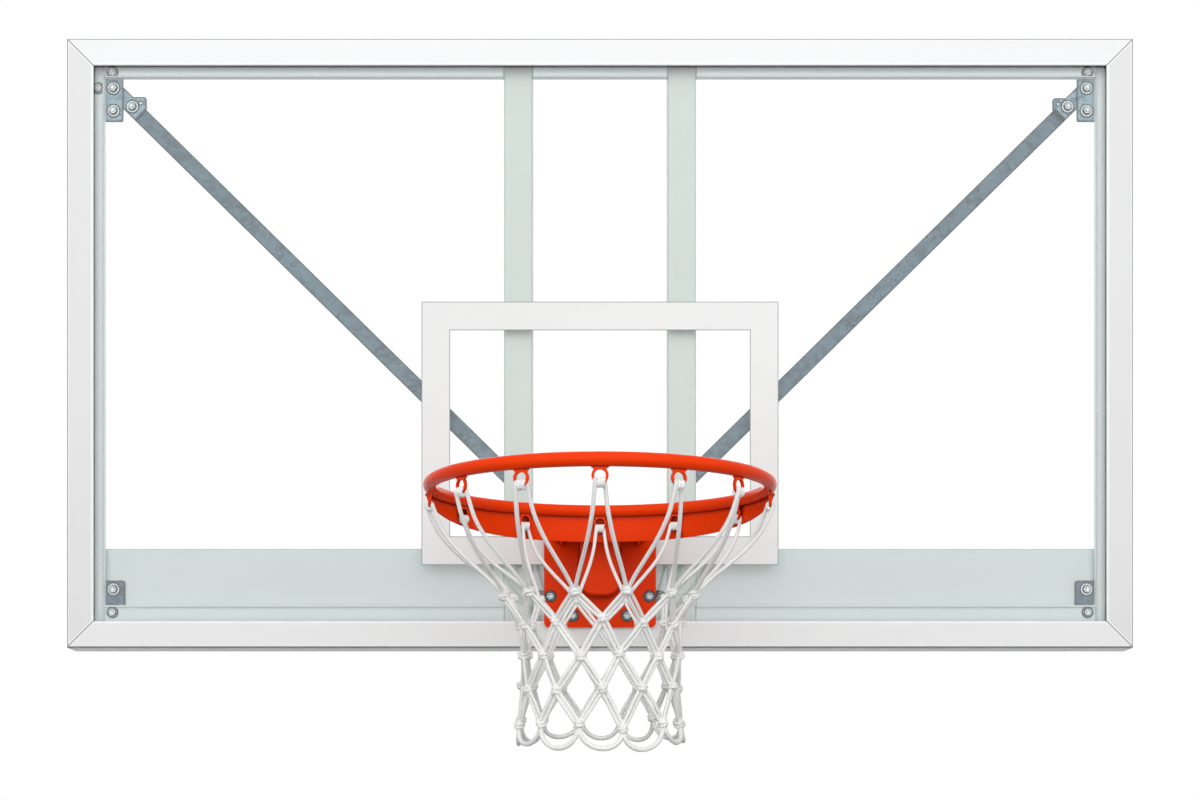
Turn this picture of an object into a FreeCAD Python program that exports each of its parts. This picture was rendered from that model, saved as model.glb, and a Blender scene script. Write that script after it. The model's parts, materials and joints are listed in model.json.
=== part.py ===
import FreeCAD
import Part
import Sketcher
import math
import os
import re

# A glass basketball backboard with a breakaway ring, in millimetres.
# X runs to the right, Y from the player to the wall, Z up.
# The origin is the middle of the rear mounting holes, level with the middle of the board.

SIZES = {
    # Board face, glass and the frame extrusion round them
    "face_width": 1818,
    "face_height": 1038,
    "board_depth": 54,
    "wall_flare": 6,
    "frame_setback": 4,
    "frame_wall": 3,
    "flange_thickness": 3,
    "flange_width": 45,
    "flange_round": 3,
    "flange_inner_round": 1.5,
    "lip_thickness": 3,
    "lip_reach": 15,
    "fin_thickness": 3,
    "fin_reach": 31,
    "gasket_leg": 2,
    "gasket_inset": 4,
    "glass_inset": 8,
    "glass_thickness": 12,
    # Target square
    "square_width": 610,
    "square_height": 450,
    "square_line": 49,
    "square_drop": 153,
    "film_thickness": 0.4,
    # Corner keys and small screws
    "key_inset": 1,
    "key_width": 12,
    "key_leg": 90,
    "key_screw_run": 60,
    "screw_radius": 2.5,
    "screw_gap": 0.1,
    "screw_head_radius": 4.5,
    "screw_head_height": 2.4,
    # Rails behind the glass
    "rail_start": 16,
    "rail_thickness": 4,
    "rail_lip_width": 2.5,
    "rail_lip_gap": 0.5,
    "side_rail_width": 40,
    "top_rail_width": 41,
    "bottom_rail_width": 57,
    "rail_screw_inset": 22,
    # Uprights and the rear mounting holes in them
    "upright_width": 50,
    "upright_spacing": 282,
    "upright_wall": 3,
    "upright_round": 5,
    "mount_spacing": 500,
    "mount_hole_radius": 6.5,
    "access_hole_radius": 5.5,
    "upright_screw_inset": 25,
    # Lower goal plate and the cross member between the uprights
    "goal_plate_drop": 348,
    "goal_plate_thickness": 4,
    "cross_thickness": 8,
    "cross_top_margin": 14,
    "cross_bottom_drop": 480,
    "cross_bolt_spread": 204,
    # Corner brackets and their bolts
    "bracket_thickness": 4,
    "bracket_margin": 29,
    "bracket_round": 4,
    "upper_bracket_inset": 85,
    "upper_bracket_drop": 129,
    "lower_bracket_inset": 88,
    "lower_bracket_rise": 116,
    "bracket_bolt_inset": 69,
    "bracket_bolt_drop": 72,
    "bracket_bolt_pitch": 39,
    "rail_bolt_drop": 46.5,
    "side_bolt_inset": 44.5,
    "side_bolt_drop": 74,
    "foot_bolt_rise": 101,
    "foot_rail_bolt_rise": 61,
    # Braces and their lugs
    "brace_width": 26.8,
    "brace_thickness": 8,
    "brace_end_inset": 79,
    "brace_bolt_inset": 100,
    "brace_bolt_drop": 102,
    "brace_foot_drop": 215,
    "lug_thickness": 4,
    "lug_margin": 54,
    "lug_length": 27,
    "lug_height": 62,
    "lug_nose": 24,
    "lug_nose_rise": 17,
    "lug_nose_fall": 2,
    "lug_round": 4,
    "lug_hole_radius": 2.6,
    "lug_hole_reach": 14,
    "lug_hole_rise": 7.5,
    # Hexagon flange bolts and nuts
    "bolt_radius": 4,
    "bolt_hole_radius": 4.3,
    "bolt_flange_radius": 10,
    "narrow_flange_radius": 8.2,
    "bolt_flange_height": 1,
    "hex_flats": 13,
    "hex_height": 3.2,
    "nut_height": 6.5,
    "bolt_end": 1.5,
    # Goal fixing through the glass
    "mount_plate_width": 190,
    "mount_plate_thickness": 6,
    "mount_plate_gap": 6,
    "mount_plate_above_hinge": 37,
    "mount_plate_bottom_drop": 485,
    "mount_plate_round": 9,
    "goal_bolt_spread": 168,
    "goal_bolt_low_drop": 432,
    "goal_bolt_top_margin": 18,
    "foot_bolt_spread": 92,
    "foot_bolt_drop": 465,
    "sleeve_radius": 7,
    "grommet_wall": 2.2,
    "fit_gap": 0.1,
    # Ring, skirt and net hooks
    "ring_inner_radius": 225,
    "ring_rod_radius": 9,
    "ring_gap": 151,
    "ring_above_hinge": 29,
    "weld_gap": 0.2,
    "skirt_offset": 4,
    "skirt_wall": 3,
    "skirt_height": 41,
    "skirt_end_height": 5,
    "skirt_edge_bow": 6,
    "hook_front_pitch": 24,
    "hook_rear_pitch": 30,
    "hook_radius": 10.4,
    "hook_hole_radius": 6.8,
    "hook_thickness": 4,
    "hook_drop": 10.5,
    "hook_slot": 5,
    "hook_flare": 23,
    "hook_neck": 14.5,
    "hook_shoulder": 7,
    # Breakaway hinge, neck, spring and housing
    "hinge_drop": 333,
    "hinge_offset": 27,
    "pin_radius": 6,
    "pin_gap": 0.06,
    "pin_overhang": 5,
    "clip_thickness": 1.5,
    "clip_radius": 10,
    "clip_gap": 0.3,
    "ear_thickness": 6,
    "ear_radius": 13,
    "ear_gap": 2,
    "neck_width": 150,
    "neck_wall": 5,
    "neck_height": 34,
    "neck_heel": 14,
    "stop_gap": 0.3,
    "plunger_offset": 20,
    "dome_radius": 8,
    "plunger_flange_radius": 15,
    "plunger_flange_height": 4,
    "plunger_guide": 20,
    "housing_half_width": 33,
    "housing_reach": 28,
    "housing_plan_round": 18,
    "housing_end_round": 24,
    "housing_under_hinge": 13,
    "housing_height": 87,
    "bore_radius": 17,
    "bore_depth": 69,
    "spring_wire_radius": 2.4,
    "spring_radius": 13,
    "spring_turns": 5,
    # Net: radius and depth below the ring of each row of knots
    "net_thickness": 4,
    "net_cord": 8,
    "net_gap": 0.3,
    "net_first_radius": 132,
    "net_first_depth": 150,
    "net_second_radius": 112,
    "net_second_depth": 188,
    "net_third_radius": 109,
    "net_third_depth": 231,
    "net_fourth_radius": 110,
    "net_fourth_depth": 277,
    "net_fifth_radius": 113,
    "net_fifth_depth": 325,
    "net_hem_radius": 115,
    "net_hem_depth": 355,
    # How far every cut runs past the material
    "cut_overrun": 10,
}

# Places worked out from the sizes. Depths are named from the front of the board to the wall.
PLACES = {
    "half_width": "face_width / 2",
    "half_height": "face_height / 2",
    "front_y": "-board_depth",
    "flange_back_y": "front_y + flange_thickness",
    "glass_front_y": "flange_back_y + gasket_leg",
    "glass_back_y": "glass_front_y + glass_thickness",
    "fin_front_y": "glass_back_y + gasket_leg",
    "fin_back_y": "fin_front_y + fin_thickness",
    "rail_back_y": "fin_back_y + rail_thickness",
    "bracket_back_y": "rail_back_y + bracket_thickness",
    "lug_back_y": "bracket_back_y + lug_thickness",
    "right_lug_back_y": "lug_back_y + lug_thickness",
    "goal_back_y": "bracket_back_y + goal_plate_thickness",
    "frame_back_y": "-frame_setback",
    "lip_front_y": "frame_back_y - lip_thickness",
    "wall_rise_share": "wall_flare / (lip_front_y - flange_back_y)",
    "rail_half_height": "half_height - rail_start",
    "side_rail_edge": "half_width - rail_start - side_rail_width",
    "upright_outer": "upright_spacing / 2 + upright_width / 2",
    "upright_inner": "upright_spacing / 2 - upright_width / 2",
    "mount_plate_top_drop": "hinge_drop - mount_plate_above_hinge",
    "goal_bolt_high_drop": "mount_plate_top_drop + goal_bolt_top_margin",
    "cross_top_drop": "goal_bolt_high_drop - cross_top_margin",
    "cross_front_y": "bracket_back_y - cross_thickness",
    "mount_back_y": "glass_front_y - mount_plate_gap",
    "mount_front_y": "mount_back_y - mount_plate_thickness",
    "ring_drop": "hinge_drop - ring_above_hinge",
    "ring_middle_radius": "ring_inner_radius + ring_rod_radius",
    "ring_y": "glass_front_y - ring_gap - ring_inner_radius",
    "ring_bottom_z": "-ring_drop - ring_rod_radius",
    "skirt_inner_radius": "ring_middle_radius + skirt_offset",
    "skirt_outer_radius": "skirt_inner_radius + skirt_wall",
    "skirt_top": "-sqrt(ring_rod_radius ^ 2 - skirt_offset ^ 2) - weld_gap",
    "skirt_bottom": "skirt_top - skirt_height",
    "skirt_edge_rise": "skirt_height - skirt_end_height",
    "skirt_edge_chord": "sqrt(skirt_outer_radius ^ 2 + skirt_edge_rise ^ 2)",
    "skirt_edge_radius": "skirt_edge_chord ^ 2 / (8 * skirt_edge_bow) + skirt_edge_bow / 2",
    "skirt_edge_reach": "skirt_edge_radius - skirt_edge_bow",
    "hook_side_pitch": "90 - hook_front_pitch - hook_rear_pitch",
    "hinge_y": "mount_front_y - hinge_offset",
    "neck_under_z": "ring_bottom_z - neck_wall",
    "plunger_y": "hinge_y - plunger_offset",
    "dome_top_z": "neck_under_z - stop_gap",
    "housing_top_drop": "hinge_drop + housing_under_hinge",
    "housing_bottom_drop": "housing_top_drop + housing_height",
    "bore_floor_drop": "housing_top_drop + bore_depth",
    "plunger_flange_top_z": "-housing_top_drop - plunger_flange_height",
    "plunger_flange_under_z": "plunger_flange_top_z - plunger_flange_height",
    "net_top_depth": "ring_rod_radius + hook_drop + hook_radius + net_gap",
    "brace_slope": "(half_height - brace_bolt_drop + brace_foot_drop)"
                   " / (half_width - brace_bolt_inset - upright_outer)",
    "brace_half_rise": "brace_width / 2 * sqrt(1 + brace_slope ^ 2)",
    "lug_cut": "(brace_slope * lug_nose + brace_half_rise - lug_nose_fall) / (1 + brace_slope ^ 2)",
}

# Where the small screws sit along a member, as shares of its half length.
SIDE_SCREW_SHARES = (-0.64, -0.25, 0.25, 0.64)
LEVEL_SCREW_SHARES = (-0.72, -0.36, 0.36, 0.72)

# Points on the spring's line, in each quarter turn, where its gap to itself is measured.
POINTS_PER_QUARTER_TURN = 12

WORD = re.compile(r"[a-z][a-z_]*[a-z]")

doc = FreeCAD.newDocument("backboard")
sizes = doc.addObject("Spreadsheet::Sheet", "sizes")
places = doc.addObject("Spreadsheet::Sheet", "places")
nodes = []


def full(formula, own_sheet=False):
    """The formula with each size and place spelt out with the name of its sheet."""
    def spell(match):
        word = match.group(0)
        if word in SIZES:
            return "sizes." + word
        if word in PLACES and not own_sheet:
            return "places." + word
        return word
    return WORD.sub(spell, str(formula))


def fill_sheets():
    for row, (name, number) in enumerate(SIZES.items(), 1):
        sizes.set("A%d" % row, name)
        sizes.set("B%d" % row, str(number))
        sizes.setAlias("B%d" % row, name)
    doc.recompute()
    for row, (name, formula) in enumerate(PLACES.items(), 1):
        places.set("A%d" % row, name)
        places.set("B%d" % row, "=" + full(formula, own_sheet=True))
        places.setAlias("B%d" % row, name)
    doc.recompute()


def value(formula):
    return float(places.evalExpression(full(formula)))


def bind(thing, **formulas):
    """Tie properties to formulas; a double underscore in a name stands for a dot."""
    for name, formula in formulas.items():
        thing.setExpression(name.replace("__", "."), full(formula))


def place(thing, x=0, y=0, z=0):
    bind(thing, Placement__Base__x=x, Placement__Base__y=y, Placement__Base__z=z)
    return thing


def node(thing, label):
    thing.Label = label
    nodes.append(thing)
    return thing


def new_body(name):
    return doc.addObject("PartDesign::Body", name)


def new_sketch(body, role):
    sketch = body.newObject("Sketcher::SketchObject", body.Name + "_sketch")
    plane = [feature for feature in body.Origin.OriginFeatures if feature.Role == role][0]
    sketch.AttachmentSupport = [(plane, "")]
    sketch.MapMode = "FlatFace"
    return sketch


def pin_point(sketch, geometry, end, spot):
    for kind, formula in zip(("DistanceX", "DistanceY"), spot):
        index = sketch.addConstraint(Sketcher.Constraint(kind, geometry, end, value(formula)))
        sketch.setExpression("Constraints[%d]" % index, full(formula))


def set_radius(sketch, geometry, formula):
    index = sketch.addConstraint(Sketcher.Constraint("Radius", geometry, value(formula)))
    sketch.setExpression("Constraints[%d]" % index, full(formula))


def draw_circle(sketch, x, y, radius):
    middle = FreeCAD.Vector(value(x), value(y), 0)
    circle = Part.Circle(middle, FreeCAD.Vector(0, 0, 1), value(radius))
    index = sketch.addGeometry(circle, False)
    pin_point(sketch, index, 3, (x, y))
    set_radius(sketch, index, radius)


def round_corner(spot, before, after, radius):
    """The arc that rounds a corner, with the points where it leaves the two sides."""
    arriving = (spot - before).normalize()
    leaving = (after - spot).normalize()
    turn = arriving.getAngle(leaving)
    reach = radius * math.tan(turn / 2)
    start = spot - arriving * reach
    finish = spot + leaving * reach
    inward = (leaving - arriving).normalize()
    middle = spot + inward * (radius / math.cos(turn / 2))
    first, last = (start, finish) if arriving.cross(leaving).z > 0 else (finish, start)
    angles = [math.atan2(end.y - middle.y, end.x - middle.x) for end in (first, last)]
    circle = Part.Circle(middle, FreeCAD.Vector(0, 0, 1), radius)
    return start, finish, Part.ArcOfCircle(circle, angles[0], angles[1]), first is start


def draw_outline(sketch, corners):
    """A closed outline; a corner with a third entry is rounded to that radius."""
    spots = [FreeCAD.Vector(value(corner[0]), value(corner[1]), 0) for corner in corners]
    count = len(corners)
    starts = list(spots)
    finishes = list(spots)
    arcs = {}
    for index, corner in enumerate(corners):
        if len(corner) > 2:
            rounded = round_corner(spots[index], spots[index - 1], spots[(index + 1) % count],
                                   value(corner[2]))
            finishes[index], starts[index] = rounded[0], rounded[1]
            arcs[index] = rounded[2:]
    sides = []
    for index in range(count):
        side = Part.LineSegment(starts[index], finishes[(index + 1) % count])
        sides.append(sketch.addGeometry(side, False))
    for index, corner in enumerate(corners):
        before, after = sides[index - 1], sides[index]
        if index not in arcs:
            sketch.addConstraint(Sketcher.Constraint("Coincident", before, 2, after, 1))
            pin_point(sketch, after, 1, corner[:2])
            continue
        mark = sketch.addGeometry(Part.Point(spots[index]), True)
        pin_point(sketch, mark, 1, corner[:2])
        sketch.addConstraint(Sketcher.Constraint("PointOnObject", mark, 1, before))
        sketch.addConstraint(Sketcher.Constraint("PointOnObject", mark, 1, after))
        arc = sketch.addGeometry(arcs[index][0], False)
        ends = (1, 2) if arcs[index][1] else (2, 1)
        sketch.addConstraint(Sketcher.Constraint("Tangent", before, 2, arc, ends[0]))
        sketch.addConstraint(Sketcher.Constraint("Tangent", after, 1, arc, ends[1]))
        set_radius(sketch, arc, corner[2])


def pad(body, role, outlines, length, circles=(), symmetric=False):
    sketch = new_sketch(body, role)
    for outline in outlines:
        draw_outline(sketch, outline)
    for circle in circles:
        draw_circle(sketch, *circle)
    feature = body.newObject("PartDesign::Pad", body.Name + "_pad")
    feature.Profile = sketch
    feature.SideType = "Symmetric" if symmetric else "One side"
    bind(feature, Length=length)
    doc.recompute()
    return feature


def pocket(body, role, outlines=(), circles=(), length=None, reverse=False):
    """A cut from an origin plane: through everything, or to a length on one side."""
    whole = body.Shape.Volume
    sketch = new_sketch(body, role)
    for outline in outlines:
        draw_outline(sketch, outline)
    for circle in circles:
        draw_circle(sketch, *circle)
    feature = body.newObject("PartDesign::Pocket", body.Name + "_pocket")
    feature.Profile = sketch
    if length is None:
        feature.Type = "ThroughAll"
        feature.SideType = "Symmetric"
    else:
        bind(feature, Length=length)
        feature.Reversed = reverse
    doc.recompute()
    if body.Shape.Volume >= whole:
        raise RuntimeError("a cut in " + body.Name + " removes nothing")
    return feature


def rectangle(left, right, low, high, radius=None):
    corners = [(left, low), (right, low), (right, high), (left, high)]
    if radius:
        corners = [corner + (radius,) for corner in corners]
    return corners


def plate(name, outlines, back_y, thickness, holes=()):
    """A flat piece that faces the player, from its back plane forward."""
    body = new_body(name)
    pad(body, "XZ_Plane", outlines, thickness, holes)
    return place(body, y=back_y)


def compound(label, things):
    group = doc.addObject("Part::Compound", label + "_set")
    group.Links = things
    return node(group, label)


def copies(label, *sets):
    """Like pieces at several spots as one named group, from sets of a master and its spots."""
    links = []
    for master, spots in sets:
        for x, z in spots:
            link = doc.addObject("App::Link", label + "_piece")
            link.LinkedObject = master
            links.append(place(link, x=x, z=z))
    return compound(label, links)


def bar(name, radius, length, x=0, y=0, z=0, axis=(0, 1, 0)):
    """A round bar that runs along its axis from its first end."""
    cylinder = doc.addObject("Part::Cylinder", name)
    turn = FreeCAD.Rotation(FreeCAD.Vector(0, 0, 1), FreeCAD.Vector(*axis))
    cylinder.Placement = FreeCAD.Placement(FreeCAD.Vector(0, 0, 0), turn)
    bind(cylinder, Radius=radius, Height=length)
    return place(cylinder, x, y, z)


def joined(name, things):
    fuse = doc.addObject("Part::MultiFuse", name)
    fuse.Shapes = things
    return fuse


def without(name, base, tool):
    cut = doc.addObject("Part::Cut", name)
    cut.Base = base
    cut.Tool = tool
    return cut


def hexagon(name, height, y):
    prism = doc.addObject("Part::Prism", name)
    prism.Polygon = 6
    turn = FreeCAD.Rotation(FreeCAD.Vector(0, 0, 1), FreeCAD.Vector(0, 1, 0))
    prism.Placement = FreeCAD.Placement(FreeCAD.Vector(0, 0, 0), turn)
    bind(prism, Circumradius="hex_flats / sqrt(3)", Height=height)
    return place(prism, y=y)


def hex_bolt(name, seat_y, back_y, flange_radius="bolt_flange_radius"):
    """A flange bolt whose head sits on seat_y and whose nut ends at back_y."""
    length = "%s - (%s) + nut_height + bolt_end" % (back_y, seat_y)
    flange = bar(name + "_flange", flange_radius, "bolt_flange_height",
                 y="%s - bolt_flange_height" % seat_y)
    head = hexagon(name + "_head", "hex_height", "%s - bolt_flange_height - hex_height" % seat_y)
    shank = bar(name + "_shank", "bolt_radius", length, y=seat_y)
    return joined(name, [flange, head, shank])


def hex_nut(name, seat_y):
    body = hexagon(name + "_body", "nut_height", seat_y)
    hole = bar(name + "_hole", "bolt_radius + screw_gap", "nut_height + 2 * cut_overrun",
               y="%s - cut_overrun" % seat_y)
    return without(name, body, hole)


def small_screw(name, seat_y, length):
    """A screw driven forward from behind, with its head on seat_y."""
    head = bar(name + "_head", "screw_head_radius", "screw_head_height", y=seat_y)
    shank = bar(name + "_shank", "screw_radius", length, y="%s - (%s)" % (seat_y, length))
    return joined(name, [head, shank])


def mirrored(side, formula):
    return "%d * (%s)" % (side, formula)


def both_sides(x, z):
    return [("-(%s)" % x, z), (x, z)]


# Frame: four mitred lengths of one extrusion, and the gasket strips inside them

def mitred_strip(label, section, run, cross, turn, cuts):
    body = new_body(label)
    pad(body, "YZ_Plane", [section], "2 * (%s + wall_flare)" % run, symmetric=True)
    mitres = []
    for side in (-1, 1):
        outer_x = mirrored(side, run + " + cut_overrun")
        inner_x = mirrored(side, run + " - 2 * flange_width")
        mitres.append([(outer_x, cross + " + cut_overrun"),
                       (outer_x, cross + " - 2 * flange_width"),
                       (inner_x, cross + " - 2 * flange_width")])
    pocket(body, "XZ_Plane", mitres)
    for circles, depth in cuts:
        pocket(body, "XZ_Plane", circles=circles, length=depth, reverse=True)
    body.Placement = FreeCAD.Placement(FreeCAD.Vector(0, 0, 0),
                                       FreeCAD.Rotation(FreeCAD.Vector(0, 1, 0), turn))
    return node(body, label)


def wall_inside(y, cross):
    return "%s - frame_wall + wall_rise_share * (%s - flange_back_y)" % (cross, y)


def frame_section(cross):
    return [("front_y", cross, "flange_round"),
            ("front_y", cross + " - flange_width", "flange_inner_round"),
            ("flange_back_y", cross + " - flange_width"),
            ("flange_back_y", cross + " - frame_wall"),
            ("fin_front_y", wall_inside("fin_front_y", cross)),
            ("fin_front_y", cross + " - fin_reach"),
            ("fin_back_y", cross + " - fin_reach"),
            ("fin_back_y", wall_inside("fin_back_y", cross)),
            ("lip_front_y", wall_inside("lip_front_y", cross)),
            ("lip_front_y", cross + " - lip_reach"),
            ("frame_back_y", cross + " - lip_reach"),
            ("frame_back_y", cross + " + wall_flare")]


def gasket_section(cross):
    return [("flange_back_y", cross + " - gasket_inset"),
            ("flange_back_y", cross + " - flange_width"),
            ("glass_front_y", cross + " - flange_width"),
            ("glass_front_y", cross + " - glass_inset"),
            ("glass_back_y", cross + " - glass_inset"),
            ("glass_back_y", cross + " - fin_reach"),
            ("fin_front_y", cross + " - fin_reach"),
            ("fin_front_y", cross + " - gasket_inset")]


def member_cuts(run, cross, shares, upright):
    radius = "screw_radius + screw_gap"
    fin = [("%s * (%s)" % (share, run), cross + " - rail_screw_inset", radius) for share in shares]
    if upright:
        fin += [(mirrored(side, "upright_spacing / 2"), cross + " - upright_screw_inset", radius)
                for side in (-1, 1)]
    lip = [(mirrored(side, run + " - key_inset - key_screw_run"),
            cross + " - key_inset - key_width / 2", radius) for side in (-1, 1)]
    return [(fin, "cut_overrun - fin_front_y"), (lip, "cut_overrun - lip_front_y")]


def make_frame():
    members = (("top", "half_width", "half_height", 0, LEVEL_SCREW_SHARES, True),
               ("right", "half_height", "half_width", 90, SIDE_SCREW_SHARES, False),
               ("bottom", "half_width", "half_height", 180, LEVEL_SCREW_SHARES, True),
               ("left", "half_height", "half_width", 270, SIDE_SCREW_SHARES, False))
    for label, run, cross, turn, shares, upright in members:
        cuts = member_cuts(run, cross, shares, upright)
        mitred_strip("frame_" + label, frame_section(cross), run, cross, turn, cuts)
        mitred_strip("gasket_" + label, gasket_section(cross), run, cross, turn, [])


def make_corner_keys():
    keys = []
    screws = []
    for side in (-1, 1):
        for level in (-1, 1):
            def corner(x, z):
                return (mirrored(side, "half_width - key_inset - (%s)" % x),
                        mirrored(level, "half_height - key_inset - (%s)" % z))
            outline = [corner("0", "0"), corner("key_leg", "0"), corner("key_leg", "key_width"),
                       corner("key_width", "key_width"), corner("key_width", "key_leg"),
                       corner("0", "key_leg")]
            spots = [corner("key_screw_run", "key_width / 2"), corner("key_width / 2", "key_screw_run")]
            holes = [spot + ("screw_radius + screw_gap",) for spot in spots]
            keys.append(plate("corner_key", [outline], "lip_front_y", "lip_front_y - fin_back_y", holes))
            screws += spots
    compound("corner_keys", keys)
    master = small_screw("corner_screw", "frame_back_y", "lip_front_y - fin_back_y")
    copies("corner_screws", (master, screws))


# Glass and the target square printed on it

def goal_bolt_spots():
    spots = both_sides("goal_bolt_spread / 2", "-goal_bolt_low_drop")
    spots += both_sides("goal_bolt_spread / 2", "-goal_bolt_high_drop")
    spots += both_sides("foot_bolt_spread / 2", "-foot_bolt_drop")
    return spots


def bored(spots, radius):
    return [spot + (radius,) for spot in spots]


def make_glass():
    edge_x = "(half_width - glass_inset)"
    edge_z = "(half_height - glass_inset)"
    outline = rectangle("-" + edge_x, edge_x, "-" + edge_z, edge_z)
    holes = bored(goal_bolt_spots(), "sleeve_radius + grommet_wall + 2 * fit_gap")
    node(plate("glass_panel", [outline], "glass_back_y", "glass_thickness", holes), "glass_panel")
    outer = rectangle("-square_width / 2", "square_width / 2",
                      "-square_drop - square_height / 2", "square_height / 2 - square_drop")
    inner = rectangle("square_line - square_width / 2", "square_width / 2 - square_line",
                      "square_line - square_drop - square_height / 2",
                      "square_height / 2 - square_drop - square_line")
    film = plate("square_film", [outer, inner], "glass_front_y", "film_thickness")
    clear = [bar("film_clearance", "sleeve_radius + grommet_wall", "2 * cut_overrun", x,
                 "glass_front_y - cut_overrun", z) for x, z in goal_bolt_spots()]
    node(without("square", film, joined("film_clearances", clear)), "target_square")


# Rails and uprights behind the glass

def rail(name, left, right, low, high, lip, holes=()):
    """A flat rail with a narrow lip along one edge that stands towards the glass."""
    body = plate(name, [rectangle(left, right, low, high)], "rail_back_y", "rail_thickness", holes)
    pad(body, "XZ_Plane", [rectangle(*lip)], "rail_back_y - glass_back_y - rail_lip_gap")
    return body


def side_screw_spots(side):
    x = mirrored(side, "half_width - rail_screw_inset")
    return [(x, "%s * half_height" % share) for share in SIDE_SCREW_SHARES]


def level_screw_spots(level):
    z = mirrored(level, "half_height - rail_screw_inset")
    return [("%s * half_width" % share, z) for share in LEVEL_SCREW_SHARES]


def side_bolt_spot(side):
    return (mirrored(side, "half_width - side_bolt_inset"), "half_height - side_bolt_drop")


def rail_bolt_spot(side):
    return (mirrored(side, "half_width - bracket_bolt_inset"), "half_height - rail_bolt_drop")


def foot_rail_bolt_spot(side):
    return (mirrored(side, "half_width - bracket_bolt_inset"), "foot_rail_bolt_rise - half_height")


def make_side_rails():
    for side, name in ((-1, "left"), (1, "right")):
        edge = mirrored(side, "side_rail_edge")
        outer = mirrored(side, "half_width - rail_start")
        lip_edge = mirrored(side, "side_rail_edge + rail_lip_width")
        holes = bored(side_screw_spots(side), "screw_radius + screw_gap")
        if side < 0:
            holes += bored([side_bolt_spot(side)], "bolt_hole_radius")
        lip_end = "(half_height - fin_reach - rail_lip_gap)"
        body = rail("side_rail_" + name, outer, edge, "-rail_half_height", "rail_half_height",
                    (lip_edge, edge, "-" + lip_end, lip_end), holes)
        node(body, "side_rail_" + name)


def within(spots, left, right):
    return [spot for spot in spots if value(left) < value(spot[0]) < value(right)]


def level_rail(label, level, width, spans, bolts):
    outer = mirrored(level, "rail_half_height")
    edge = mirrored(level, "rail_half_height - " + width)
    lip_edge = mirrored(level, "rail_half_height - %s + rail_lip_width" % width)
    pieces = []
    for left, right in spans:
        holes = bored(within(level_screw_spots(level), left, right), "screw_radius + screw_gap")
        holes += bored(within(bolts, left, right), "bolt_hole_radius")
        pieces.append(rail(label + "_piece", left, right, edge, outer, (left, right, edge, lip_edge), holes))
    compound(label, pieces)


def make_level_rails():
    outer_spans = [("-side_rail_edge", "-upright_outer"), ("upright_outer", "side_rail_edge")]
    middle_span = [("-upright_inner", "upright_inner")]
    level_rail("top_rail", 1, "top_rail_width", outer_spans + middle_span,
               [rail_bolt_spot(-1), rail_bolt_spot(1)])
    level_rail("bottom_rail", -1, "bottom_rail_width", outer_spans,
               [foot_rail_bolt_spot(-1), foot_rail_bolt_spot(1)])


def make_rail_screws():
    spots = []
    for side in (-1, 1):
        spots += side_screw_spots(side)
        spots += level_screw_spots(side)
    master = small_screw("rail_screw", "rail_back_y", "rail_thickness + fin_thickness")
    copies("rail_screws", (master, spots))


def make_uprights():
    screw_z = "(half_height - upright_screw_inset)"
    for side, name in ((-1, "left"), (1, "right")):
        body = new_body("upright_" + name)
        left = mirrored(side, "upright_inner")
        right = mirrored(side, "upright_outer")
        inner = rectangle(mirrored(side, "upright_inner + upright_wall"),
                          mirrored(side, "upright_outer - upright_wall"),
                          "fin_back_y + upright_wall", "-upright_wall",
                          "upright_round - upright_wall")
        outer = rectangle(left, right, "fin_back_y", "0", "upright_round")
        pad(body, "XY_Plane", [outer, inner], "2 * rail_half_height", symmetric=True)
        middle = mirrored(side, "upright_spacing / 2")
        mount = [(middle, "mount_spacing / 2", "mount_hole_radius"),
                 (middle, "-mount_spacing / 2", "mount_hole_radius"),
                 (middle, screw_z, "access_hole_radius"),
                 (middle, "-" + screw_z, "access_hole_radius")]
        pocket(body, "XZ_Plane", circles=mount, length="upright_wall * 2", reverse=True)
        screws = [(middle, screw_z, "screw_radius + screw_gap"),
                  (middle, "-" + screw_z, "screw_radius + screw_gap")]
        pocket(body, "XZ_Plane", circles=screws, length="-fin_back_y + cut_overrun", reverse=True)
        node(body, "upright_" + name)
    spots = both_sides("upright_spacing / 2", screw_z) + both_sides("upright_spacing / 2", "-" + screw_z)
    master = small_screw("upright_screw", "fin_back_y + upright_wall", "upright_wall + fin_thickness")
    copies("upright_screws", (master, spots))


# Corner brackets, braces and lugs

def bracket_bolt_spots(side):
    x = mirrored(side, "half_width - bracket_bolt_inset")
    return [(x, "half_height - bracket_bolt_drop"),
            (x, "half_height - bracket_bolt_drop - bracket_bolt_pitch")]


def foot_bolt_spot(side):
    return (mirrored(side, "half_width - bracket_bolt_inset"), "foot_bolt_rise - half_height")


def brace_bolt_spot(side):
    return (mirrored(side, "half_width - brace_bolt_inset"), "half_height - brace_bolt_drop")


def make_brackets():
    for side, name in ((-1, "left"), (1, "right")):
        outer = mirrored(side, "half_width - bracket_margin")
        upper = rectangle(outer, mirrored(side, "half_width - upper_bracket_inset"),
                          "half_height - upper_bracket_drop", "half_height - bracket_margin",
                          "bracket_round")
        spots = bracket_bolt_spots(side) + [rail_bolt_spot(side)]
        if side < 0:
            spots.append(side_bolt_spot(side))
        node(plate("upper_bracket_" + name, [upper], "bracket_back_y", "bracket_thickness",
                   bored(spots, "bolt_hole_radius")), "upper_bracket_" + name)
        lower = rectangle(outer, mirrored(side, "half_width - lower_bracket_inset"),
                          "bracket_margin - half_height", "lower_bracket_rise - half_height",
                          "bracket_round")
        spots = [foot_bolt_spot(side), foot_rail_bolt_spot(side)]
        node(plate("lower_bracket_" + name, [lower], "bracket_back_y", "bracket_thickness",
                   bored(spots, "bolt_hole_radius")), "lower_bracket_" + name)


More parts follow.
